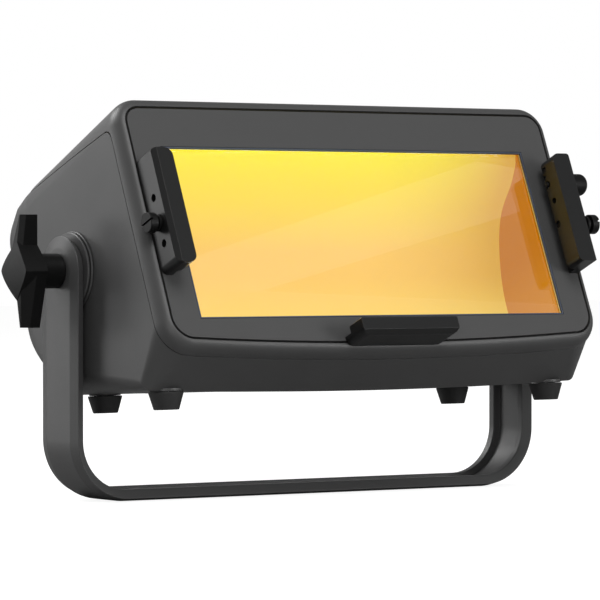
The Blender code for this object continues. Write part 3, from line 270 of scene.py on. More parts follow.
def arc(centre, radius, start, end, steps):
    turns = [math.radians(start + (end - start) * i / steps) for i in range(steps + 1)]
    return [(centre[0] + radius * math.cos(t), centre[1] + radius * math.sin(t)) for t in turns]


def rounded_box(x, z, radii, steps=8):
    """An outline with its own radius at each corner: low left, low right, top right, top left."""
    a, b, c, d = radii
    points = arc((x[0] + a, z[0] + a), a, 180, 270, steps) + arc((x[1] - b, z[0] + b), b, 270, 360, steps)
    return points + arc((x[1] - c, z[1] - c), c, 0, 90, steps) + arc((x[0] + d, z[1] - d), d, 90, 180, steps)


def rounded_corner(before, corner, after, reach, steps=8):
    """A soft turn of a line at a corner, from reach before it to reach behind it."""
    here = Vector(corner)
    start = here + (Vector(before) - here).normalized() * reach
    end = here + (Vector(after) - here).normalized() * reach
    share = [i / steps for i in range(steps + 1)]
    return [tuple(start * (1 - t) ** 2 + here * 2 * t * (1 - t) + end * t ** 2) for t in share]


def turn_shape(bm, degrees, axis):
    turn = Matrix.Rotation(math.radians(degrees), 3, axis)
    bmesh.ops.rotate(bm, verts=bm.verts, cent=(0, 0, 0), matrix=turn)
    return bm


def sided(side, low, high):
    """A span of X on the left (side -1) or right (side 1) of the light, from its smaller end."""
    return sorted((side * low, side * high))


def move_shape(bm, offset):
    bmesh.ops.translate(bm, verts=bm.verts, vec=offset)
    return bm


# Objects

def raw(bm, place, name):
    bmesh.ops.transform(bm, matrix=place, verts=bm.verts)
    data = bpy.data.meshes.new(name)
    bm.to_mesh(data)
    bm.free()
    obj = bpy.data.objects.new(name, data)
    bpy.context.scene.collection.objects.link(obj)
    return obj


def settle(obj):
    """Puts the object's modifiers into its mesh."""
    graph = bpy.context.evaluated_depsgraph_get()
    data = bpy.data.meshes.new_from_object(obj.evaluated_get(graph))
    old = obj.data
    obj.modifiers.clear()
    obj.data = data
    bpy.data.meshes.remove(old)


def combine(obj, shapes, place, how="DIFFERENCE"):
    helpers = []
    for shape in shapes:
        helper = raw(shape, place, "helper")
        modifier = obj.modifiers.new("cut", "BOOLEAN")
        modifier.operation = how
        modifier.solver = "EXACT"
        modifier.object = helper
        helpers.append(helper)
    settle(obj)
    for helper in helpers:
        bpy.data.objects.remove(helper)
    return obj


def piece(name, shape, place, finish, body, node=(), slot=None, cuts=(), joins=(), edge=0.0, limit=35,
          smooth=32, crisp=False):
    """A finished piece of the light, with the body it rides on and the node it stands for."""
    obj = raw(shape, place, name)
    if joins:
        combine(obj, joins, place, "UNION")
    if cuts:
        combine(obj, cuts, place)
    obj.name = obj.data.name = name
    obj.data.materials.clear()
    obj.data.materials.append(finish)
    if edge:
        rounding = obj.modifiers.new("edges", "BEVEL")
        rounding.width = edge * 0.001
        rounding.segments = 3
        rounding.limit_method = "ANGLE"
        rounding.angle_limit = math.radians(limit)
        rounding.miter_outer = "MITER_ARC"
        rounding.harden_normals = False
    obj.data.shade_smooth()
    obj.data.set_sharp_from_angle(angle=math.radians(smooth))
    if edge or crisp:
        weights = obj.modifiers.new("face_weights", "WEIGHTED_NORMAL")
        weights.keep_sharp = crisp
        weights.weight = 60
    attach(obj, body)
    if node:
        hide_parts(*node)
    return obj


def housing_piece(name, shape, coat, slot, cuts=(), joins=(), **soft):
    """A piece that rides on the housing and stands for the node of its own name."""
    return piece(name, shape, HOUSING_PLACE, coat, "housing", [name], slot, cuts, joins, **soft)


# Finishes

def set_inputs(node, values):
    for label, value in values.items():
        node.inputs[label].default_value = value


def group(name, inputs, outputs):
    made = bpy.data.node_groups.new(name, "ShaderNodeTree")
    for label, kind, value in inputs:
        socket = made.interface.new_socket(label, in_out="INPUT", socket_type="NodeSocket" + kind)
        socket.default_value = value
    for label, kind in outputs:
        made.interface.new_socket(label, in_out="OUTPUT", socket_type="NodeSocket" + kind)
    return made, made.nodes.new("NodeGroupInput"), made.nodes.new("NodeGroupOutput")


def math_node(tree, how, a, b=0.0, clamp=False):
    made = tree.nodes.new("ShaderNodeMath")
    made.operation = how
    made.use_clamp = clamp
    for socket, value in zip(made.inputs, (a, b)):
        if isinstance(value, bpy.types.NodeSocket):
            tree.links.new(value, socket)
        else:
            socket.default_value = value
    return made.outputs[0]


def blend_colour(tree, factor, a, b):
    made = tree.nodes.new("ShaderNodeMix")
    made.data_type = "RGBA"
    wanted = {"Factor_Float": factor, "A_Color": a, "B_Color": b}
    for socket in made.inputs:
        value = wanted.get(socket.identifier)
        if value is None:
            continue
        if isinstance(value, bpy.types.NodeSocket):
            tree.links.new(value, socket)
        else:
            socket.default_value = value
    return [s for s in made.outputs if s.identifier == "Result_Color"][0]


def noise(tree, scale, detail, rough):
    where = tree.nodes.new("ShaderNodeTexCoord")
    made = tree.nodes.new("ShaderNodeTexNoise")
    tree.links.new(where.outputs["Object"], made.inputs["Vector"])
    tree.links.new(scale, made.inputs["Scale"])
    set_inputs(made, {"Detail": detail, "Roughness": rough})
    return made.outputs["Fac"]


def make_grain():
    """Fine moulded or powder-coated grain: a height for bump, and a slow drift of tone."""
    rates = [("Grain per metre", "Float", 1400.0), ("Drift per metre", "Float", 22.0)]
    tree, given, result = group("coat_grain", rates, [("Height", "Float"), ("Tone", "Float")])
    fine = noise(tree, given.outputs["Grain per metre"], 3.0, 0.6)
    slow = noise(tree, given.outputs["Drift per metre"], 3.0, 0.55)
    tree.links.new(fine, result.inputs["Height"])
    slow_part, fine_part = math_node(tree, "MULTIPLY", slow, 0.75), math_node(tree, "MULTIPLY", fine, 0.25)
    mixed = math_node(tree, "ADD", slow_part, fine_part)
    spread = math_node(tree, "MULTIPLY", math_node(tree, "SUBTRACT", mixed, 0.35), 3.3, clamp=True)
    tree.links.new(spread, result.inputs["Tone"])
    return tree


def make_brushing():
    """Fine lines along X, as rolled or brushed metal has."""
    outputs = [("Height", "Float"), ("Tone", "Float")]
    tree, given, result = group("metal_lines", [("Lines per metre", "Float", 900.0)], outputs)
    where = tree.nodes.new("ShaderNodeTexCoord")
    stretch = tree.nodes.new("ShaderNodeMapping")
    stretch.inputs["Scale"].default_value = (0.02, 1, 1)
    tree.links.new(where.outputs["Object"], stretch.inputs["Vector"])
    lines = tree.nodes.new("ShaderNodeTexNoise")
    tree.links.new(stretch.outputs[0], lines.inputs["Vector"])
    tree.links.new(given.outputs["Lines per metre"], lines.inputs["Scale"])
    lines.inputs["Detail"].default_value = 3
    tree.links.new(lines.outputs["Fac"], result.inputs["Height"])
    above = math_node(tree, "SUBTRACT", lines.outputs["Fac"], 0.3)
    tree.links.new(math_node(tree, "MULTIPLY", above, 2.5, clamp=True), result.inputs["Tone"])
    return tree


def make_glow():
    """The painted light on the reflector: emission colours that stand in for the LEDs' light falling on it,
    yellow at the top, more orange towards the foot and darker on the far side. In metres: heights from the
    tilt axis, widths from the middle.
    """
    top_height, column_run, column_power = 0.066, 0.07, 0.8
    far_start, far_run, far_power = 0.02, 0.15, 2.0
    foot_height, foot_run, foot_share = -0.024, 0.05, 0.55
    colours = [("Top", "Color", (1, 0.85, 0.1, 1)), ("Foot", "Color", (1, 0.6, 0.2, 1)),
               ("Far side", "Color", (0.8, 0.4, 0.1, 1)), ("Near the foot", "Color", (1, 0.7, 0.2, 1))]
    tree, given, result = group("painted_lamp_glow", colours, [("Colour", "Color")])
    where = tree.nodes.new("ShaderNodeTexCoord")
    up = tree.nodes.new("ShaderNodeVectorMath")
    up.operation = "DOT_PRODUCT"
    tree.links.new(where.outputs["Object"], up.inputs[0])
    up.inputs[1].default_value = (0, math.sin(TILT), math.cos(TILT))
    height = math_node(tree, "SUBTRACT", up.outputs["Value"], PIVOT_Z * 0.001 * math.cos(TILT))
    below = math_node(tree, "SUBTRACT", top_height, height)
    down = math_node(tree, "MULTIPLY", below, 1 / column_run, clamp=True)
    down = math_node(tree, "POWER", down, column_power)
    column = blend_colour(tree, down, given.outputs["Top"], given.outputs["Foot"])
    axes = tree.nodes.new("ShaderNodeSeparateXYZ")
    tree.links.new(where.outputs["Object"], axes.inputs[0])
    right = math_node(tree, "ADD", axes.outputs["X"], -far_start)
    across = math_node(tree, "MULTIPLY", right, 1 / far_run, clamp=True)
    across = math_node(tree, "POWER", across, far_power)
    level = blend_colour(tree, across, column, given.outputs["Far side"])
    under = math_node(tree, "SUBTRACT", foot_height, height)
    foot = math_node(tree, "MULTIPLY", under, 1 / foot_run, clamp=True)
    share = math_node(tree, "MULTIPLY", foot, foot_share)
    tree.links.new(blend_colour(tree, share, level, given.outputs["Near the foot"]), result.inputs["Colour"])
    return tree


GRAIN = make_grain()
LINES = make_brushing()
GLOW = make_glow()


def grey(level):
    """A neutral colour from its 0 to 255 level on screen."""
    v = level / 255
    linear = v / 12.92 if v <= 0.04045 else ((v + 0.055) / 1.055) ** 2.4
    return (linear, linear, linear, 1)


def rgb(r, g, b):
    """A colour from its 0 to 255 levels on screen."""
    return tuple(grey(v)[0] for v in (r, g, b)) + (1,)


BUMP_DEPTH = 0.0001
# The reflector's dull base colour, and the strength of the painted light it gives out.
LIT_BASE = grey(30)
PAINTED_GLOW_STRENGTH = 1.06


def new_material(name):
    made = bpy.data.materials.new(name)
    made.use_nodes = True
    return made, made.node_tree


def grain(rate):
    return {"Grain per metre": rate}


def add_pattern(tree, pattern, rates):
    marks = tree.nodes.new("ShaderNodeGroup")
    marks.node_tree = pattern
    set_inputs(marks, rates)
    return marks


def finish(name, light, dark, rough=(0.4, 0.5), metal=0.0, pattern=GRAIN, rates=None, bump=0.1, coat=0.0,
           specular=0.5):
    """A material: two near tones mixed by the pattern, with its own roughness range and bump."""
    made, tree = new_material(name)
    shader = tree.nodes["Principled BSDF"]
    marks = add_pattern(tree, pattern, rates or {})
    tree.links.new(blend_colour(tree, marks.outputs["Tone"], dark, light), shader.inputs["Base Color"])
    low, high = rough
    spread = math_node(tree, "MULTIPLY", marks.outputs["Tone"], low - high)
    tree.links.new(math_node(tree, "ADD", spread, high), shader.inputs["Roughness"])
    set_inputs(shader, {"Metallic": metal, "Coat Weight": coat, "Specular IOR Level": specular})
    bumps = tree.nodes.new("ShaderNodeBump")
    set_inputs(bumps, {"Strength": bump, "Distance": BUMP_DEPTH})
    tree.links.new(marks.outputs["Height"], bumps.inputs["Height"])
    tree.links.new(bumps.outputs["Normal"], shader.inputs["Normal"])
    return made


def make_glass():
    made, tree = new_material("window_pane")
    shader = tree.nodes["Principled BSDF"]
    set_inputs(shader, {"Transmission Weight": 1.0, "Roughness": 0.0, "IOR": 1.5})
    marks = add_pattern(tree, GRAIN, grain(300))
    tint = blend_colour(tree, marks.outputs["Tone"], (0.985, 0.99, 0.99, 1), (1, 1, 1, 1))
    tree.links.new(tint, shader.inputs["Base Color"])
    return made


def make_painted_glow_sheet(name, top, foot, far, near_foot):
    """A dull sheet that gives out painted light: emission in the lamp's colours stands in for the LEDs' light
    falling on it.
    """
    made, tree = new_material(name)
    shader = tree.nodes["Principled BSDF"]
    glow = add_pattern(tree, GLOW, {"Top": top, "Foot": foot, "Far side": far, "Near the foot": near_foot})
    tree.links.new(glow.outputs["Colour"], shader.inputs["Emission Color"])
    set_inputs(shader, {"Emission Strength": PAINTED_GLOW_STRENGTH, "Roughness": 0.5, "Specular IOR Level": 0.1})
    marks = add_pattern(tree, GRAIN, grain(500))
    darker = tuple(c * 0.9 for c in LIT_BASE[:3]) + (1,)
    tree.links.new(blend_colour(tree, marks.outputs["Tone"], darker, LIT_BASE), shader.inputs["Base Color"])
    return made


shell_coat = finish("shell_powder_coat", grey(65), grey(63), (0.45, 0.48), bump=0.34, rates=grain(950))
plate_coat = finish("plate_powder_coat", grey(63), grey(61), (0.52, 0.55), bump=0.3, rates=grain(950))
yoke_coat = finish("yoke_powder_coat", grey(68), grey(66), (0.42, 0.46), bump=0.3, rates=grain(950))
bracket_coat = finish("bracket_powder_coat", grey(20), grey(18), (0.34, 0.38), bump=0.1, specular=0.4)
disc_coat = finish("clamp_disc_coat", grey(66), grey(60), (0.36, 0.42), bump=0.06)
knob_plastic = finish("knob_plastic", grey(9), grey(7), (0.46, 0.52), rates=grain(2200), specular=0.2)
fan_plastic = finish("fan_plastic", grey(24), grey(18), (0.4, 0.5), bump=0.08)
foot_rubber = finish("foot_rubber", grey(34), grey(28), (0.62, 0.72), bump=0.2, rates=grain(900))
seal_rubber = finish("seal_rubber", rgb(64, 74, 92), rgb(58, 66, 82), (0.5, 0.6), bump=0.1)
washer_fibre = finish("washer_fibre", grey(30), grey(20), (0.7, 0.8), bump=0.3, rates=grain(700))
zinc_steel = finish("zinc_steel", grey(190), grey(165), (0.28, 0.4), 1.0, LINES, bump=0.08)
sink_metal = finish("sink_metal", grey(200), grey(180), (0.3, 0.42), 1.0, LINES, bump=0.1)
board_white = finish("board_white", grey(235), grey(225), (0.4, 0.5), bump=0.05)
board_green = finish("board_green", rgb(30, 92, 58), rgb(22, 74, 46), (0.35, 0.45), bump=0.05)
panel_coat = finish("panel_coat", grey(46), grey(42), (0.45, 0.52), bump=0.12)
inlet_blue = finish("inlet_blue", rgb(26, 74, 158), rgb(22, 64, 140), (0.35, 0.42), bump=0.06)
outlet_grey = finish("outlet_grey", grey(190), grey(178), (0.38, 0.45), bump=0.06)
screen_glass = finish("screen_glass", rgb(14, 20, 28), rgb(10, 15, 22), (0.06, 0.1), bump=0.01, coat=0.5)
pane_glass = make_glass()
# Painted light: the reflector glows with emission in the LEDs' colours, and its end walls in a darker amber,
# which is painted shade on them.
painted_reflector_glow = make_painted_glow_sheet("painted_reflector_glow", rgb(255, 243, 20), rgb(250, 198, 90),
                         rgb(216, 163, 55), rgb(255, 226, 100))
painted_end_glow = make_painted_glow_sheet("painted_end_wall_glow", rgb(184, 106, 0), rgb(192, 114, 0),
                   rgb(190, 112, 0), rgb(214, 142, 36))


# Housing

def front_inset(y):
    u = min(max((y - FRONT_Y) / (LIP_Y - FRONT_Y), 0), 1)
    return FRONT_ROLL * (1 - math.sqrt(max(0, 1 - (1 - u) ** 2)))


def rear_inset(y):
    v = min(max((y - (REAR_Y - REAR_R)) / REAR_R, 0), 1)
    return REAR_R * (1 - math.sqrt(max(0, 1 - v * v)))


def top_at(y):
    """The hood's top line: nearly level, a soft turn into the fall at the rear, then the rear edge."""
    top = TOP_FRONT_Z + TOP_SLOPE * (y - FRONT_Y)
    past = y - (REAR_FALL_Y - REAR_FALL_BLEND)
    if past > 2 * REAR_FALL_BLEND:
        top += REAR_FALL * (past - REAR_FALL_BLEND)
    elif past > 0:
        top += REAR_FALL * past ** 2 / (4 * REAR_FALL_BLEND)
    v = min(max((y - (REAR_Y - REAR_EDGE_R)) / REAR_EDGE_R, 0), 1)
    return top - REAR_EDGE_R * (1 - math.sqrt(1 - v * v))


def top_radius(y):
    """The hood's long edges get tighter where it falls at the rear."""
    v = min(max((y - REAR_FALL_Y) / (TOP_REAR_Y - REAR_FALL_Y), 0), 1)
    return EDGE_R + (TOP_REAR_R - EDGE_R) * v


def under_at(y):
    return UNDER_FRONT_Z + math.tan(UNDER_LEAN) * (min(y, UNDER_REAR_Y) - UNDER_FRONT_Y)


def bottom_at(y):
    if y <= LIP_Y:
        return LIP_Z
    if y <= UNDER_FRONT_Y:
        return LIP_Z + (UNDER_FRONT_Z - LIP_Z) * (y - LIP_Y) / (UNDER_FRONT_Y - LIP_Y)
    if y <= UNDER_REAR_Y:
        return under_at(y)
    return under_at(y) + (REAR_LOW_Z - under_at(y)) * (y - UNDER_REAR_Y) / (REAR_Y - UNDER_REAR_Y)


def bottom_radius(y):
    """The lower edges are round at the lip, tight behind it and round again towards the rear."""
    if y <= LIP_Y:
        return LOW_R_LIP
    if y <= UNDER_FRONT_Y:
        return LOW_R_LIP - (LOW_R_LIP - LOW_R_UNDER) * (y - LIP_Y) / (UNDER_FRONT_Y - LIP_Y)
    grown = (LOW_R_REAR - LOW_R_UNDER) * (y - UNDER_FRONT_Y) / (LOW_R_FULL_Y - UNDER_FRONT_Y)
    return min(LOW_R_UNDER + grown, LOW_R_REAR)


def bow_at(y):
    """How far the middle of the underside hangs below its edges."""
    if y <= UNDER_FRONT_Y:
        return BOW - BOW_LOSS * max(0, y - LIP_Y) / (UNDER_FRONT_Y - LIP_Y)
    return (BOW - BOW_LOSS) * max(0, 1 - (y - UNDER_FRONT_Y) / BOW_RUN)


def ring_at(y, half, low, top, r_low, r_top, bow, arc_steps=14, flat_steps=24, side_steps=6):
    """One closed section of the housing: bowed underside, rounded corners, straight sides and top."""
    flat = half - r_low
    right = [(flat * i / flat_steps, low - bow * (1 - (i / flat_steps) ** 2)) for i in range(flat_steps + 1)]
    right += arc((half - r_low, low + r_low), r_low, -90, 0, arc_steps)[1:]
    reach = top - r_top - (low + r_low)
    right += [(half, low + r_low + reach * i / side_steps) for i in range(1, side_steps)]
    right += arc((half - r_top, top - r_top), r_top, 0, 90, arc_steps)
    right += [((half - r_top) * (1 - i / flat_steps), top) for i in range(1, flat_steps + 1)]
    left = [(-x, z) for x, z in reversed(right[1:-1])]
    return [Vector((x, y, z)) for x, z in right + left]


def housing_section(y, off=0.0):
    roll = front_inset(y)
    half = HALF_W - roll - rear_inset(y) - off
    top, low = top_at(y) - roll - off, bottom_at(y) + roll + off
    room = (top - low) / 2 - 1
    r_top = min(max(top_radius(y) - roll - off, SECTION_R_MIN), room)
    r_low = min(max(bottom_radius(y) - roll - off, SECTION_R_MIN), room)
    return ring_at(y, half, low, top, r_low, r_top, bow_at(y))


def stations(low, high):
    """Where the sections stand along Y: close together wherever the housing's form turns."""
    roll = LIP_Y - FRONT_Y
    marks = [FRONT_Y + roll * (1 - math.cos(math.radians(a))) for a in range(0, 91, 6)]
    marks += [LIP_Y + (UNDER_FRONT_Y - LIP_Y) * i / 12 for i in range(1, 12)]
    marks += [UNDER_FRONT_Y + d for d in (-0.8, 0, 0.8, 4, 12)]
    marks += [-30 + 10 * i for i in range(7)] + [REAR_FALL_Y + REAR_FALL_BLEND * u / 5 for u in range(-5, 6)]
    marks += [TOP_REAR_Y - 10, TOP_REAR_Y - 7, TOP_REAR_Y - 3, TOP_REAR_Y]
    marks += [UNDER_REAR_Y - 2, UNDER_REAR_Y, UNDER_REAR_Y + 2, UNDER_REAR_Y + 5]
    marks += [REAR_Y - 34 * (1 - math.sin(math.radians(a))) for a in range(0, 90, 5)]
    kept = [low]
    for y in sorted(m for m in marks if low + 0.2 < m < high - 0.1):
        if y - kept[-1] > 0.12:
            kept.append(y)
    return kept + [high]


def housing_solid(off=0.0):
    low, high = (FRONT_Y, REAR_Y) if off == 0 else (FRONT_Y + LEDGE, REAR_Y - off)
    return loft([housing_section(y, off) for y in stations(low, high)])


def seam_line(shift):
    """The joint between hood and base, seen from the side and pushed outwards by shift."""
    corners = [((LIP_Y - shift, CUT_LOW), 0), ((LIP_Y - shift, SEAM_FRONT_Z + shift), 9)]
    corners += [((y + shift / 2, z + shift), reach) for (y, z), reach in SEAM_TURNS]
    corners.append(((CUT_BACK, corners[-1][0][1]), 0))
    line = [corners[0][0]]
    for (before, _), (corner, reach), (after, _) in zip(corners, corners[1:], corners[2:]):
        line += rounded_corner(before, corner, after, reach)
    return line + [corners[-1][0]]


def plate_outline(off):
    """The middle line of the groove round the front plate, drawn in by off."""
    half, low, top = GROOVE_HALF_W - off, GROOVE_LOW + off, GROOVE_TOP - off
    r_low, r_top = max(PLATE_LOW_R - off, 3), max(PLATE_TOP_R - off, 3)
    ring = ring_at(0, half, low, top, r_low, r_top, PLATE_BOW, flat_steps=12, side_steps=2)
    return [(p.x, p.z) for p in ring]


def under_place(x, y):
    """The place of something that stands on the underside at x, y: its Z is the underside's own normal."""
    z = UNDER_FRONT_Z + math.tan(UNDER_LEAN) * (y - UNDER_FRONT_Y)
    return Matrix.Translation((x, y, z)) @ Matrix.Rotation(UNDER_LEAN, 4, "X")


def on_underside(bm, x, y):
    bmesh.ops.transform(bm, matrix=under_place(x, y), verts=bm.verts)
    return bm


def foot_places():
    return [(s * x, y) for x, y in (FOOT_FRONT, FOOT_REAR) for s in (-1, 1)]


def service_shape(inset, radius, low, high):
    """The outline of the underside's recess drawn in by inset, between two heights off the underside."""
    half = SERVICE_HALF_W - inset
    outline = rounded_box((-half, half), (SERVICE_FRONT + inset, SERVICE_BACK - inset), [radius] * 4)
    return on_underside(prism(outline, "Z", low, high), 0, 0)


def rear_cuts():
    """The fan's slots and the rear panel's opening, through the rear wall."""
    through = (REAR_Y - 8, REAR_Y + 5)
    cuts = []
    for i in range(FAN_SLOTS):
        x = FAN_X + (i - (FAN_SLOTS - 1) / 2) * FAN_SLOT_PITCH
        across = (x - FAN_SLOT_HALF_X, x + FAN_SLOT_HALF_X)
        upright = (FAN_Z - FAN_SLOT_HALF_Z, FAN_Z + FAN_SLOT_HALF_Z)
        cuts.append(prism(rounded_box(across, upright, [FAN_SLOT_R] * 4, 5), "Y", *through))
    across, upright = ((low + PANEL_SEAT, high - PANEL_SEAT) for low, high in (PANEL_X, PANEL_Z))
    cuts.append(block(across, through, upright))
    return cuts


def build_shells():
    """The hood and the base shell, cut apart along the seam, and the plate in the underside."""
    upper = prism(seam_line(SEAM / 2) + [(CUT_BACK, CUT_LOW)], "X", -CUT_SIDE, CUT_SIDE)
    cuts = [housing_solid(WALL), upper,
            prism(plate_outline(-GROOVE / 2), "Y", FRONT_Y - 5, FRONT_Y + LEDGE - 1),
            prism(plate_outline(HOOD_LEDGE_IN), "Y", FRONT_Y - 6, FRONT_Y + 20)]
    housing_piece("hood", housing_solid(), shell_coat, "housing_black", cuts)
    over = [(CUT_BACK, CUT_HIGH), (CUT_FRONT, CUT_HIGH)]
    lower = prism([(CUT_FRONT, CUT_LOW - 10)] + seam_line(-SEAM / 2) + over, "X", -CUT_SIDE, CUT_SIDE)
    cuts = [lower]
    cuts += [rod(STUD_R + 0.5, s * (HALF_W - 8), s * (HALF_W + 8), "X") for s in (-1, 1)]
    cuts += rear_cuts()
    cuts.append(service_shape(0, SERVICE_R, -14, 1.2))
    cuts.append(service_shape(SERVICE_RIM, SERVICE_R, -14, 14))
    boss = [(BOSS_LOW, 0), (BOSS_LOW, BOSS_R - 0.4), (BOSS_LOW + 0.4, BOSS_R)]
    boss += [(BOSS_TOP, BOSS_R), (BOSS_TOP, 0)]
    bosses = [on_underside(turned(boss, "Z"), x, y) for x, y in foot_places()]
    base = housing_piece("base_shell", housing_solid(), shell_coat, "housing_black", [housing_solid(WALL)])
    combine(base, cuts, HOUSING_PLACE)
    combine(base, bosses, HOUSING_PLACE, "UNION")
    base.data.shade_smooth()
    base.data.set_sharp_from_angle(angle=math.radians(32))
    plate = service_shape(SERVICE_GAP, SERVICE_R - SERVICE_GAP, -0.6, 0.9)
    housing_piece("service_plate", plate, shell_coat, "housing_black", edge=0.3)


def window_ring(grow_out, grow_in, low, high):
    """A frame round the window's opening."""
    bm = bmesh.new()
    loops = []
    for grow in (grow_out, grow_in):
        for y in (low, high):
            half, top, base = WINDOW_HALF_W + grow, WINDOW_TOP + grow, WINDOW_LOW - grow
            corners = ((-half, y, base), (half, y, base), (half, y, top), (-half, y, top))
            loops.append([bm.verts.new(c) for c in corners])
    for a, b in ((0, 1), (1, 3), (3, 2), (2, 0)):
        for i in range(4):
            j = (i + 1) % 4
            bm.faces.new((loops[a][i], loops[a][j], loops[b][j], loops[b][i]))
    bmesh.ops.recalc_face_normals(bm, faces=bm.faces)
    return bm


def build_front():
    """The front plate, the seal and the pane, whose raised middle fills the opening."""
    back = FRONT_Y + PLATE_T
    grow = GASKET_W + GAP
    across, upright = (-WINDOW_HALF_W - grow, WINDOW_HALF_W + grow), (WINDOW_LOW - grow, WINDOW_TOP + grow)
    opening = block(across, (FRONT_Y - 5, back + 5), upright)
    plate = prism(plate_outline(GROOVE / 2), "Y", FRONT_Y, back)
    housing_piece("front_plate", plate, plate_coat, "plate_black", [opening], edge=0.3)
    seal = window_ring(GASKET_W, 0, FRONT_Y + 0.2, back)
    housing_piece("window_gasket", seal, seal_rubber, "seal_blue_black", edge=0.15)
    near = back + GAP
    half = WINDOW_HALF_W + PANE_GROW
    pane = block((-half, half), (near, near + GLASS_T), (WINDOW_LOW - PANE_GROW, WINDOW_TOP + PANE_GROW))
    half = WINDOW_HALF_W - PANE_STEP_IN
    upright = (WINDOW_LOW + PANE_STEP_IN, WINDOW_TOP - PANE_STEP_IN)
    raised = block((-half, half), (PANE_STEP_Y, near + 1), upright)
    housing_piece("window_glass", pane, pane_glass, "window_glass", joins=[raised], smooth=5)


# Accessory brackets, screws and latch

def build_side_bracket(side):
    """A slotted block beside the window with three holes. The right one has two notches too."""
    name = "frame_bracket_" + ("left" if side < 0 else "right")
    back, front, inner = FRONT_Y - GAP, FRONT_Y - BRACKET_DEPTH, BRACKET_OUTER - BRACKET_W
    low, high = BRACKET_LOW - 1, BRACKET_TOP + 1
    radii = [6, 6.5, 7, 2] if side < 0 else [5, 1, 2.5, 6.5]
    outline = rounded_box(sided(side, inner, BRACKET_OUTER), (BRACKET_LOW, BRACKET_TOP), radii)
    cuts = [block(sided(side, inner - 2, inner + SLOT_DEPTH), (back - SLOT_W, back + 1), (low, high))]
    if side < 0:
        edge = -BRACKET_OUTER
        corner = [(edge - 1, front + CHAMFER), (edge, front + CHAMFER), (edge + CHAMFER, front),
                  (edge + CHAMFER, front - 1), (edge - 1, front - 1)]
        cuts.append(prism(corner, "Z", low, high))
    reach = sided(side, inner - 3, BRACKET_OUTER + 3)
    cuts.append(rod(HOLE_R, *reach, "X", (0, PIN_Y, SCREW_Z)))
    if side < 0:
        cuts += [rod(HOLE_R, *reach, "X", (0, PIN_Y - 1, SCREW_Z + rise)) for rise in LEFT_HOLES]
    else:
        cuts.append(rod(SMALL_HOLE_R, *reach, "X", (0, PIN_Y - 3, 9)))
        cuts.append(rod(HOLE_R, *reach, "X", (0, PIN_Y, LATCH_Z)))
        for z, depth in NOTCHES:
            floor = back - SLOT_W
            cuts.append(block((inner - 1, inner + 3), (floor - depth, floor + 1), (z, z + NOTCH_H)))
    shape = prism(outline, "Y", front, back)
    housing_piece(name, shape, bracket_coat, "bracket_black", cuts, edge=BRACKET_EDGE)


def build_bottom_bracket():
    back, front, low = FRONT_Y - GAP, FRONT_Y - BRACKET_DEPTH, BOTTOM_TOP - BOTTOM_H
    span, past = (-BOTTOM_HALF, BOTTOM_HALF), (-BOTTOM_HALF - 1, BOTTOM_HALF + 1)
    corner = [(front - 1, low - 1), (front + CHAMFER, low - 1), (front + CHAMFER, low),
              (front, low + CHAMFER), (front - 1, low + CHAMFER)]
    cuts = [block(past, (back - SLOT_W, back + 1), (BOTTOM_TOP - 6, BOTTOM_TOP + 1))]
    cuts.append(prism(corner, "X", *past))
    shape = prism(rounded_box(span, (low, BOTTOM_TOP), [6, 6, 1.5, 1]), "Y", front, back)
    housing_piece("frame_bracket_bottom", shape, bracket_coat, "bracket_black", cuts, edge=BRACKET_EDGE)


def build_thumb_screw(side, lift):
    """A threaded pin, a collar, a neck and a slotted drum. Lift is how far it is drawn out."""
    name = "thumb_screw_" + ("left" if side < 0 else "right")
    seat = BRACKET_OUTER + GAP + lift
    tip = BRACKET_OUTER - BRACKET_W + SCREW_TIP_IN - seat
    profile = [(tip, 0), (tip, SCREW_R - 0.5), (tip + 0.5, SCREW_R)]
    a = tip + 1.2
    while a < -0.8:
        profile += [(a, SCREW_R), (a + 0.25, SCREW_R - THREAD_DEPTH), (a + 0.5, SCREW_R)]
        a += THREAD_PITCH
    profile += [(0, SCREW_R), (0, COLLAR_R - 0.3), (0.3, COLLAR_R), (COLLAR_END - 0.3, COLLAR_R),
                (COLLAR_END, COLLAR_R - 0.3), (COLLAR_END, NECK_R), (NECK_END, NECK_R)]
    profile += [(NECK_END, THUMB_R - 0.5), (NECK_END + 0.15, THUMB_R - 0.15), (NECK_END + 0.5, THUMB_R),
                (THUMB_END - 0.5, THUMB_R), (THUMB_END - 0.15, THUMB_R - 0.15), (THUMB_END, THUMB_R - 0.5),
                (THUMB_END, 0)]
    slot = block((-THUMB_R - 1, THUMB_R + 1), (-THUMB_SLOT_HALF, THUMB_SLOT_HALF),
                 (THUMB_END - THUMB_SLOT_DEPTH, THUMB_END + 1))
    turn_shape(slot, THUMB_SLOT_TURN, "Z")
    turn_shape(slot, 90 * side, "Y")
    centre = (side * seat, PIN_Y, SCREW_Z)
    shape = turned(profile, "X", centre, 72, side)
    piece(name, shape, HOUSING_PLACE, knob_plastic, name, [name], "knob_black", [move_shape(slot, centre)],
          smooth=18, crisp=True)


def build_latch():
    """The sprung knob on the right bracket: a drum with a domed face."""
    centre = (BRACKET_OUTER + GAP, PIN_Y, LATCH_Z)
    dome = [(LATCH_DRUM_END + LATCH_DOME * math.sin(math.radians(a)),
             LATCH_R * math.cos(math.radians(a)) ** LATCH_DOME_POWER) for a in range(8, 88, 8)]
    profile = [(LATCH_START, 0), (LATCH_START, 5), (3.3, 5.6), (4.5, 8.6), (5.0, 9.0), (5.7, LATCH_R),
               (LATCH_DRUM_END, LATCH_R)] + dome + [(LATCH_DRUM_END + LATCH_DOME, 0)]
    shape = turned(profile, "X", centre, 72)
    piece("latch_knob", shape, HOUSING_PLACE, knob_plastic, "frame_latch", ["latch_knob"], "knob_black",
          [rod(LATCH_BORE_R, 2, 10, "X", centre)], smooth=18, crisp=True)


# Feet

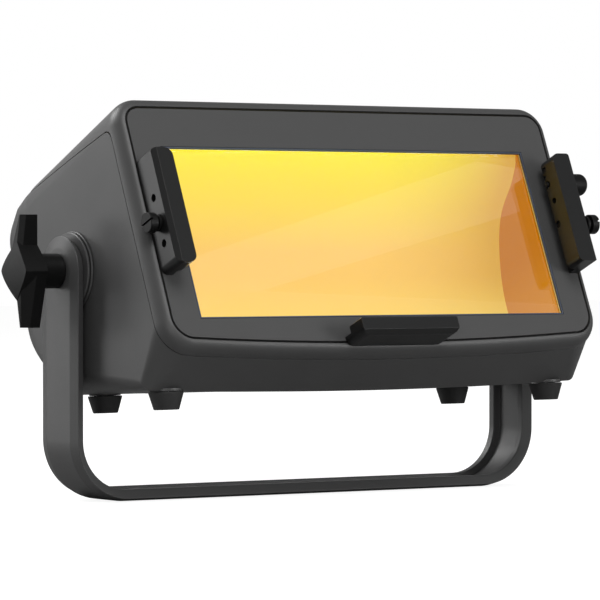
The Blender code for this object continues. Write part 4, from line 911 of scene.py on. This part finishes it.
def build_feet():
    """Turned rubber feet, each with a screw sunk in its well."""
    low = FOOT_SEAT - FOOT_H
    well = low + FOOT_WELL_H
    foot = [(well, 0), (well, FOOT_WELL_R), (low + 0.3, FOOT_WELL_R), (low, FOOT_WELL_R + 0.3),
            (low, FOOT_LOW_R - 1.0), (low + 0.3, FOOT_LOW_R - 0.3), (low + 1, FOOT_LOW_R), (-2.2, FOOT_TOP_R),
            (-1.6, FOOT_TOP_R - 0.2), (FOOT_SEAT, FOOT_TOP_R - 0.7), (FOOT_SEAT, 0)]
    screw = [(low + 4.8, 0), (low + 4.8, 2.0), (low + 4.0, 2.4), (low + 4.0, FOOT_HEAD_R - 0.4),
             (low + 4.4, FOOT_HEAD_R), (low + 6.8, FOOT_HEAD_R), (low + 6.8, FOOT_SCREW_R),
             (FOOT_SCREW_END, FOOT_SCREW_R), (FOOT_SCREW_END, 0)]
    for (x, y), name in zip(foot_places(), ("front_left", "front_right", "rear_left", "rear_right")):
        bore = on_underside(rod(FOOT_BORE_R, -30, 5, "Z"), x, y)
        shape = on_underside(turned(foot, "Z"), x, y)
        housing_piece("foot_" + name, shape, foot_rubber, "rubber_black", [bore])
        shape = on_underside(turned(screw, "Z", steps=32), x, y)
        housing_piece("foot_screw_" + name, shape, zinc_steel, "steel")


# Yoke and clamps

def yoke_half():
    """Half of the strip's section, as (depth below the outer face, distance from the middle) pairs."""
    corners = [(0, 0), (0, YOKE_FLAT), (YOKE_BEVEL, YOKE_HALF), (YOKE_T, YOKE_LIP), (YOKE_T, CHANNEL_HALF),
               (CHANNEL_FLOOR, CHANNEL_HALF - CHANNEL_LEAN), (CHANNEL_FLOOR, 0)]
    line = [corners[0]]
    for before, corner, after in zip(corners, corners[1:], corners[2:]):
        line += rounded_corner(before, corner, after, YOKE_SOFT, 3)
    return line + [corners[-1]]


def yoke_path():
    """The outer face from the left tilt axis to the right one, as (x, z, direction of the inward normal)."""
    left = [(-YOKE_OUTER, -ARM_STEP * i, 0.0) for i in range(7)]
    centre = (-YOKE_OUTER + YOKE_CORNER, -PIVOT_Z + YOKE_CORNER)
    for i in range(BEND_STEPS + 1):
        turn = 180 + 90 * i / BEND_STEPS
        x, z = arc(centre, YOKE_CORNER, turn, turn, 1)[0]
        left.append((x, z, math.radians(turn - 180)))
    bar = [(BAR_STEP * i, -PIVOT_Z, math.pi / 2) for i in range(-4, 1)]
    return left + bar + [(-x, z, math.pi - t) for x, z, t in reversed(left)]


def yoke_solid():
    """The bent strip. Its section is swept along the path and turned about the tilt axis at both ends."""
    bm = bmesh.new()
    half = yoke_half()
    section = half + [(depth, -width) for depth, width in reversed(half[1:-1])]

    def skin(rings, closed):
        made = [[bm.verts.new(p) for p in ring] for ring in rings]
        for a, b in zip(made, made[1:]):
            for i in range(len(a) if closed else len(a) - 1):
                j = (i + 1) % len(a)
                bm.faces.new((a[i], a[j], b[j], b[i]))

    skin([[Vector((x + d * math.cos(t), w, z + d * math.sin(t))) for d, w in section]
          for x, z, t in yoke_path()], True)
    turns = [math.pi * i / END_STEPS for i in range(END_STEPS + 1)]
    for side in (-1, 1):
        skin([[Vector((side * (YOKE_OUTER - d), w * math.cos(t), w * math.sin(t))) for d, w in half]
              for t in turns], False)
    bmesh.ops.remove_doubles(bm, verts=bm.verts, dist=0.001)
    bmesh.ops.recalc_face_normals(bm, faces=bm.faces)
    return bm


def build_yoke():
    pad = (YOKE_OUTER - CHANNEL_FLOOR + 0.5, YOKE_OUTER - YOKE_T)
    joins = [rod(YOKE_PAD_R, *sided(s, *pad), "X", steps=64) for s in (-1, 1)]
    cuts = [rod(STUD_R + 0.4, *sided(s, 150, 300), "X") for s in (-1, 1)]
    cuts.append(rod(YOKE_BOLT_R, -PIVOT_Z - 5, -PIVOT_Z + 15, "Z", steps=48))
    piece("yoke", yoke_solid(), YOKE_PLACE, yoke_coat, "yoke", ["yoke"], "yoke_black", cuts, joins, smooth=2.8)


def build_knob(side):
    """A wing knob: a rhomb with a crowned front, two wings and a round hub."""
    name = "tilt_knob_" + ("left" if side < 0 else "right")

    def at(out, y, z):
        return Vector((side * (YOKE_OUTER + out), y, z))

    sections = []
    middle = KNOB_SLICES // 2
    for i in range(KNOB_SLICES):
        z = KNOB_HALF_Z * math.sin(math.pi / 2 * (i - middle) / middle)
        share = min(abs(z) / KNOB_HALF_Z, 1)
        half = max(KNOB_HALF_Y * (1 - share ** 1.32), 0.5)
        front = KNOB_FRONT - KNOB_CROWN * share ** 2
        corners = ((KNOB_BACK, -half), (front, -half), (front, half), (KNOB_BACK, half))
        sections.append([at(out, y, z) for out, y in corners])
    joins = []
    for flip in (1, -1):
        wing = [at(out, y * flip, WING_ROOT_Z * flip) for out, y in WING_ROOT]
        wing += [at(out, y * flip, WING_Z * flip) for out, y in WING_TIP]
        joins.append(hull(wing))
    hub = [(HUB_START, 0), (HUB_START, HUB_R - 0.7), (0.6, HUB_R - 0.3), (1.2, HUB_R)]
    hub += [(HUB_END, HUB_R), (HUB_END, 0)]
    joins.append(turned(hub, "X", (side * YOKE_OUTER, 0, 0), 96, side))
    bore = rod(STUD_R + 0.3, *sided(side, YOKE_OUTER - 5, YOKE_OUTER + 14), "X")
    piece(name, loft(sections), YOKE_PLACE, knob_plastic, name, [name], "knob_black", [bore], joins, edge=0.7,
          limit=14, smooth=40)


def build_clamps():
    """The rings of each tilt clamp, from the housing's side out to the yoke's arm."""
    wall, arm = HALF_W, YOKE_OUTER - YOKE_T - GAP
    rings = (("pivot_disc_", PIVOT_DISC_R, wall + GAP, wall + 2.1, disc_coat, "housing", "bracket_black"),
             ("friction_washer_", WASHER_R, wall + 2.3, wall + 2.8, washer_fibre, "housing", "washer_fibre"),
             ("yoke_disc_", YOKE_DISC_R, wall + 3.0, arm, disc_coat, "yoke", "bracket_black"))
    for side, end in ((-1, "left"), (1, "right")):
        for label, outer, low, high, coat, body, slot in rings:
            edge = min(0.5, (high - low) * 0.4)
            shape = washer(outer, STUD_R + 0.4, *sided(side, low, high), "X", edge)
            piece(label + end, shape, YOKE_PLACE, coat, body, [label + end], slot, crisp=True)


# Optics

REFLECTOR = [(-99.0, 62.5), (-94.0, 52.5), (-83.5, 41.6), (-73.0, 34.2), (-63.5, 27.0), (-56.5, 18.6),
             (-51.0, 9.4), (-46.0, -2.5), (-42.4, -13.0), (-39.6, -23.5), (-37.0, -38.0), (-36.0, -54.8),
             (-36.8, -72.0), (-39.5, -88.0)]
SHEET_T = 1.2
REFLECTOR_SPARE = 1.2
END_FRONT_Y, END_BACK_Y = FRONT_Y + 9.2, -37.0
END_LOW, END_TOP = WINDOW_LOW - 2.4, WINDOW_TOP + 3.8


def smooth_line(points, steps=6):
    """A curve through the points."""
    out = []
    last = len(points) - 1
    for i in range(last):
        p0, p1, p2, p3 = (Vector(points[min(max(k, 0), last)]) for k in (i - 1, i, i + 1, i + 2))
        square, cube = 2 * p0 - 5 * p1 + 4 * p2 - p3, 3 * p1 - p0 - 3 * p2 + p3
        for s in range(steps):
            t = s / steps
            out.append(0.5 * ((2 * p1) + (p2 - p0) * t + square * t * t + cube * t ** 3))
    return out + [Vector(points[last])]


def build_optics():
    """The curved reflector and its two end walls, which glow with painted light."""
    half = WINDOW_HALF_W + REFLECTOR_SPARE
    line = smooth_line(REFLECTOR)
    outer = []
    for i, point in enumerate(line):
        ahead = line[min(i + 1, len(line) - 1)] - line[max(i - 1, 0)]
        outer.append(point + Vector((-ahead.y, ahead.x)).normalized() * SHEET_T)
    outline = [tuple(point) for point in line + outer[::-1]]
    sheet = prism(outline, "X", -half, half)
    housing_piece("reflector", sheet, painted_reflector_glow, "bright_aluminium")
    end = [(END_FRONT_Y, END_LOW), (END_FRONT_Y, END_TOP)]
    end += [tuple(point + Vector((1.5, 0))) for point in line[3:-3]]
    end.append((END_BACK_Y, END_LOW))
    for side, name in ((-1, "left"), (1, "right")):
        wall = prism(end, "X", *sided(side, half + GAP, half + GAP + SHEET_T))
        housing_piece("reflector_end_" + name, wall, painted_end_glow, "bright_aluminium")


def dress_nodes():
    """Finishes for the solids that keep their CAD shape."""
    wanted = (
        (zinc_steel, ("glass_retainer", "knob_stud_left", "knob_stud_right", "pivot_plate_left",
                      "pivot_plate_right", "safety_eye")),
        (sink_metal, ("led_heat_sink", "power_supply")),
        (board_green, ("driver_board",)),
        (board_white, ("led_board",)),
        (fan_plastic, ("fan_frame", "fan_rotor", "data_inlet", "data_outlet")),
        (panel_coat, ("rear_panel",)),
        (inlet_blue, ("power_inlet",)),
        (outlet_grey, ("power_outlet",)),
        (screen_glass, ("display_window",)),
        (foot_rubber, ("menu_button_1", "menu_button_2", "menu_button_3", "menu_button_4")),
        # The steel latch pin takes the black knob finish, so its tip in the hole stays dark: painted shade.
        (knob_plastic, ("latch_pin",)))
    for given, names in wanted:
        for name in names:
            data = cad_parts[name].data
            data.materials.clear()
            data.materials.append(given)


# Stage. Places and sizes in these tables are in metres, the lens and its sensor in millimetres

LAMP_TARGET = (0, 0, 0.2)
LAMPS = (("front_top", (-0.6, -2.2, 2.8), (1.8, 1.8), 72),
         ("front_right_low", (1.6, -2.6, 0.5), (1.2, 1.2), 33),
         ("front_left_low", (-2.2, -2.2, 0.3), (1.2, 1.2), 16),
         ("rear_left_high", (-1.6, 2.2, 2.4), (1.6, 1.6), 88),
         ("rear_left_wall", (-2.6, 3.4, 0.9), (1.8, 1.8), 30),
         ("rear_right_wall", (0.7, 2.95, 1.0), (1.4, 1.0), 2.4))
FLOOR_TONE, FLOOR_GLOW, WORLD_FILL = 0.3, 0.9, 0.25

CAMERA_AT = (-1.8195, -2.7183, 0.2040)
CAMERA_HEADING = math.radians(33.87)
CAMERA_PITCH = math.radians(0.785)
CAMERA_LENS, CAMERA_SENSOR, CAMERA_REACH = 237.2, 36, 60

VIEW_PX = 600
CARD_AWAY = 2.6
CARDS = (("band_card", [(478, 160), (611, 183), (80, 346), (80, 295)], 1.0),
         ("strip_card", [(150, 284), (262, 290), (600, 305), (600, 350), (150, 350)], 0.8))


def seen_directly(tree):
    """One for the camera's own rays and those that pass through glass, else zero."""
    path = tree.nodes.new("ShaderNodeLightPath")
    return math_node(tree, "MAXIMUM", path.outputs["Is Camera Ray"], path.outputs["Is Transmission Ray"])


def make_backdrop():
    """The floor's finish: near white where it is seen directly, and a dull grey that takes the shadow."""
    made, tree = new_material("studio_floor")
    tree.nodes.clear()
    out = tree.nodes.new("ShaderNodeOutputMaterial")
    diffuse = tree.nodes.new("ShaderNodeBsdfDiffuse")
    diffuse.inputs["Color"].default_value = (FLOOR_TONE, FLOOR_TONE, FLOOR_TONE, 1)
    glow = tree.nodes.new("ShaderNodeEmission")
    tree.links.new(math_node(tree, "MULTIPLY", seen_directly(tree), FLOOR_GLOW), glow.inputs["Strength"])
    both = tree.nodes.new("ShaderNodeAddShader")
    tree.links.new(diffuse.outputs[0], both.inputs[0])
    tree.links.new(glow.outputs[0], both.inputs[1])
    tree.links.new(both.outputs[0], out.inputs["Surface"])
    return made


def build_stage():
    """The floor, and a world that is white where it is seen directly and a weak fill otherwise."""
    floor = raw(block((-9000, 9000), (-9000, 9000), (-40, -0.5)), Matrix.Scale(0.001, 4), "studio_floor")
    floor.data.materials.append(make_backdrop())
    world = bpy.data.worlds.new("studio")
    bpy.context.scene.world = world
    world.use_nodes = True
    tree = world.node_tree
    tree.nodes.clear()
    out = tree.nodes.new("ShaderNodeOutputWorld")
    sky = tree.nodes.new("ShaderNodeBackground")
    tree.links.new(math_node(tree, "MAXIMUM", seen_directly(tree), WORLD_FILL), sky.inputs["Strength"])
    sky.inputs["Color"].default_value = (1, 1, 1, 1)
    tree.links.new(sky.outputs[0], out.inputs["Surface"])


def build_lamps():
    """Area lamps round the light, which the camera doesn't see. Powers are in watts."""
    for name, at, size, power in LAMPS:
        data = bpy.data.lights.new(name, "AREA")
        data.shape = "RECTANGLE"
        data.size, data.size_y = size
        data.energy = power
        obj = bpy.data.objects.new(name, data)
        obj.location = at
        obj.rotation_euler = (Vector(LAMP_TARGET) - Vector(at)).to_track_quat("-Z", "Y").to_euler()
        bpy.context.scene.collection.objects.link(obj)
        obj.visible_camera = False


def in_mirror(px, py):
    """The point, on a plane in front of the light, that the window shows at a pixel of the view."""
    view = bpy.context.scene.camera
    turn = view.rotation_euler.to_matrix()
    half = VIEW_PX / 2
    reach = view.data.sensor_width / 2 / view.data.lens
    ray = turn @ Vector(((px - half) / half * reach, (half - py) / half * reach, -1))
    face = HOUSING_PLACE @ Vector((0, FRONT_Y, 0))
    normal = (HOUSING_PLACE.to_3x3() @ Vector((0, -1, 0))).normalized()
    hit = view.location + ray * ((face - view.location).dot(normal) / ray.dot(normal))
    bounced = ray.normalized().reflect(normal)
    middle = turn @ Vector((0, 0, -1))
    away = middle.reflect(normal)
    return hit + bounced * ((face + away * CARD_AWAY - hit).dot(away) / bounced.dot(away))


def build_cards():
    """Two pale cards that the window mirrors: a slanted band and a strip along its foot."""
    for name, corners, level in CARDS:
        white, tree = new_material(name)
        tree.nodes.clear()
        glow = tree.nodes.new("ShaderNodeEmission")
        set_inputs(glow, {"Color": (0.9, 0.95, 1.0, 1), "Strength": level})
        out = tree.nodes.new("ShaderNodeOutputMaterial")
        tree.links.new(glow.outputs[0], out.inputs["Surface"])
        bm = bmesh.new()
        bm.faces.new([bm.verts.new(in_mirror(*pixel)) for pixel in corners])
        card = raw(bm, Matrix.Identity(4), name)
        card.data.materials.append(white)
        card.visible_camera = False


def build_camera():
    """The photograph's own view, solved from the straight edges of the light."""
    data = bpy.data.cameras.new("studio_camera")
    data.sensor_width = CAMERA_SENSOR
    data.lens = CAMERA_LENS
    data.clip_end = CAMERA_REACH
    obj = bpy.data.objects.new("studio_camera", data)
    obj.location = CAMERA_AT
    right, back = math.sin(CAMERA_HEADING), math.cos(CAMERA_HEADING)
    level = math.cos(CAMERA_PITCH)
    ahead = Vector((right * level, back * level, -math.sin(CAMERA_PITCH)))
    obj.rotation_euler = ahead.to_track_quat("-Z", "Y").to_euler()
    bpy.context.scene.collection.objects.link(obj)
    bpy.context.scene.camera = obj


build_shells()
build_front()
build_side_bracket(-1)
build_side_bracket(1)
build_bottom_bracket()
build_thumb_screw(-1, 0.0)
build_thumb_screw(1, RIGHT_SCREW_LIFT)
build_latch()
build_feet()
build_yoke()
build_knob(-1)
build_knob(1)
build_clamps()
build_optics()
dress_nodes()
build_stage()
build_lamps()
build_camera()
build_cards()
bpy.context.scene.view_settings.view_transform = "Standard"
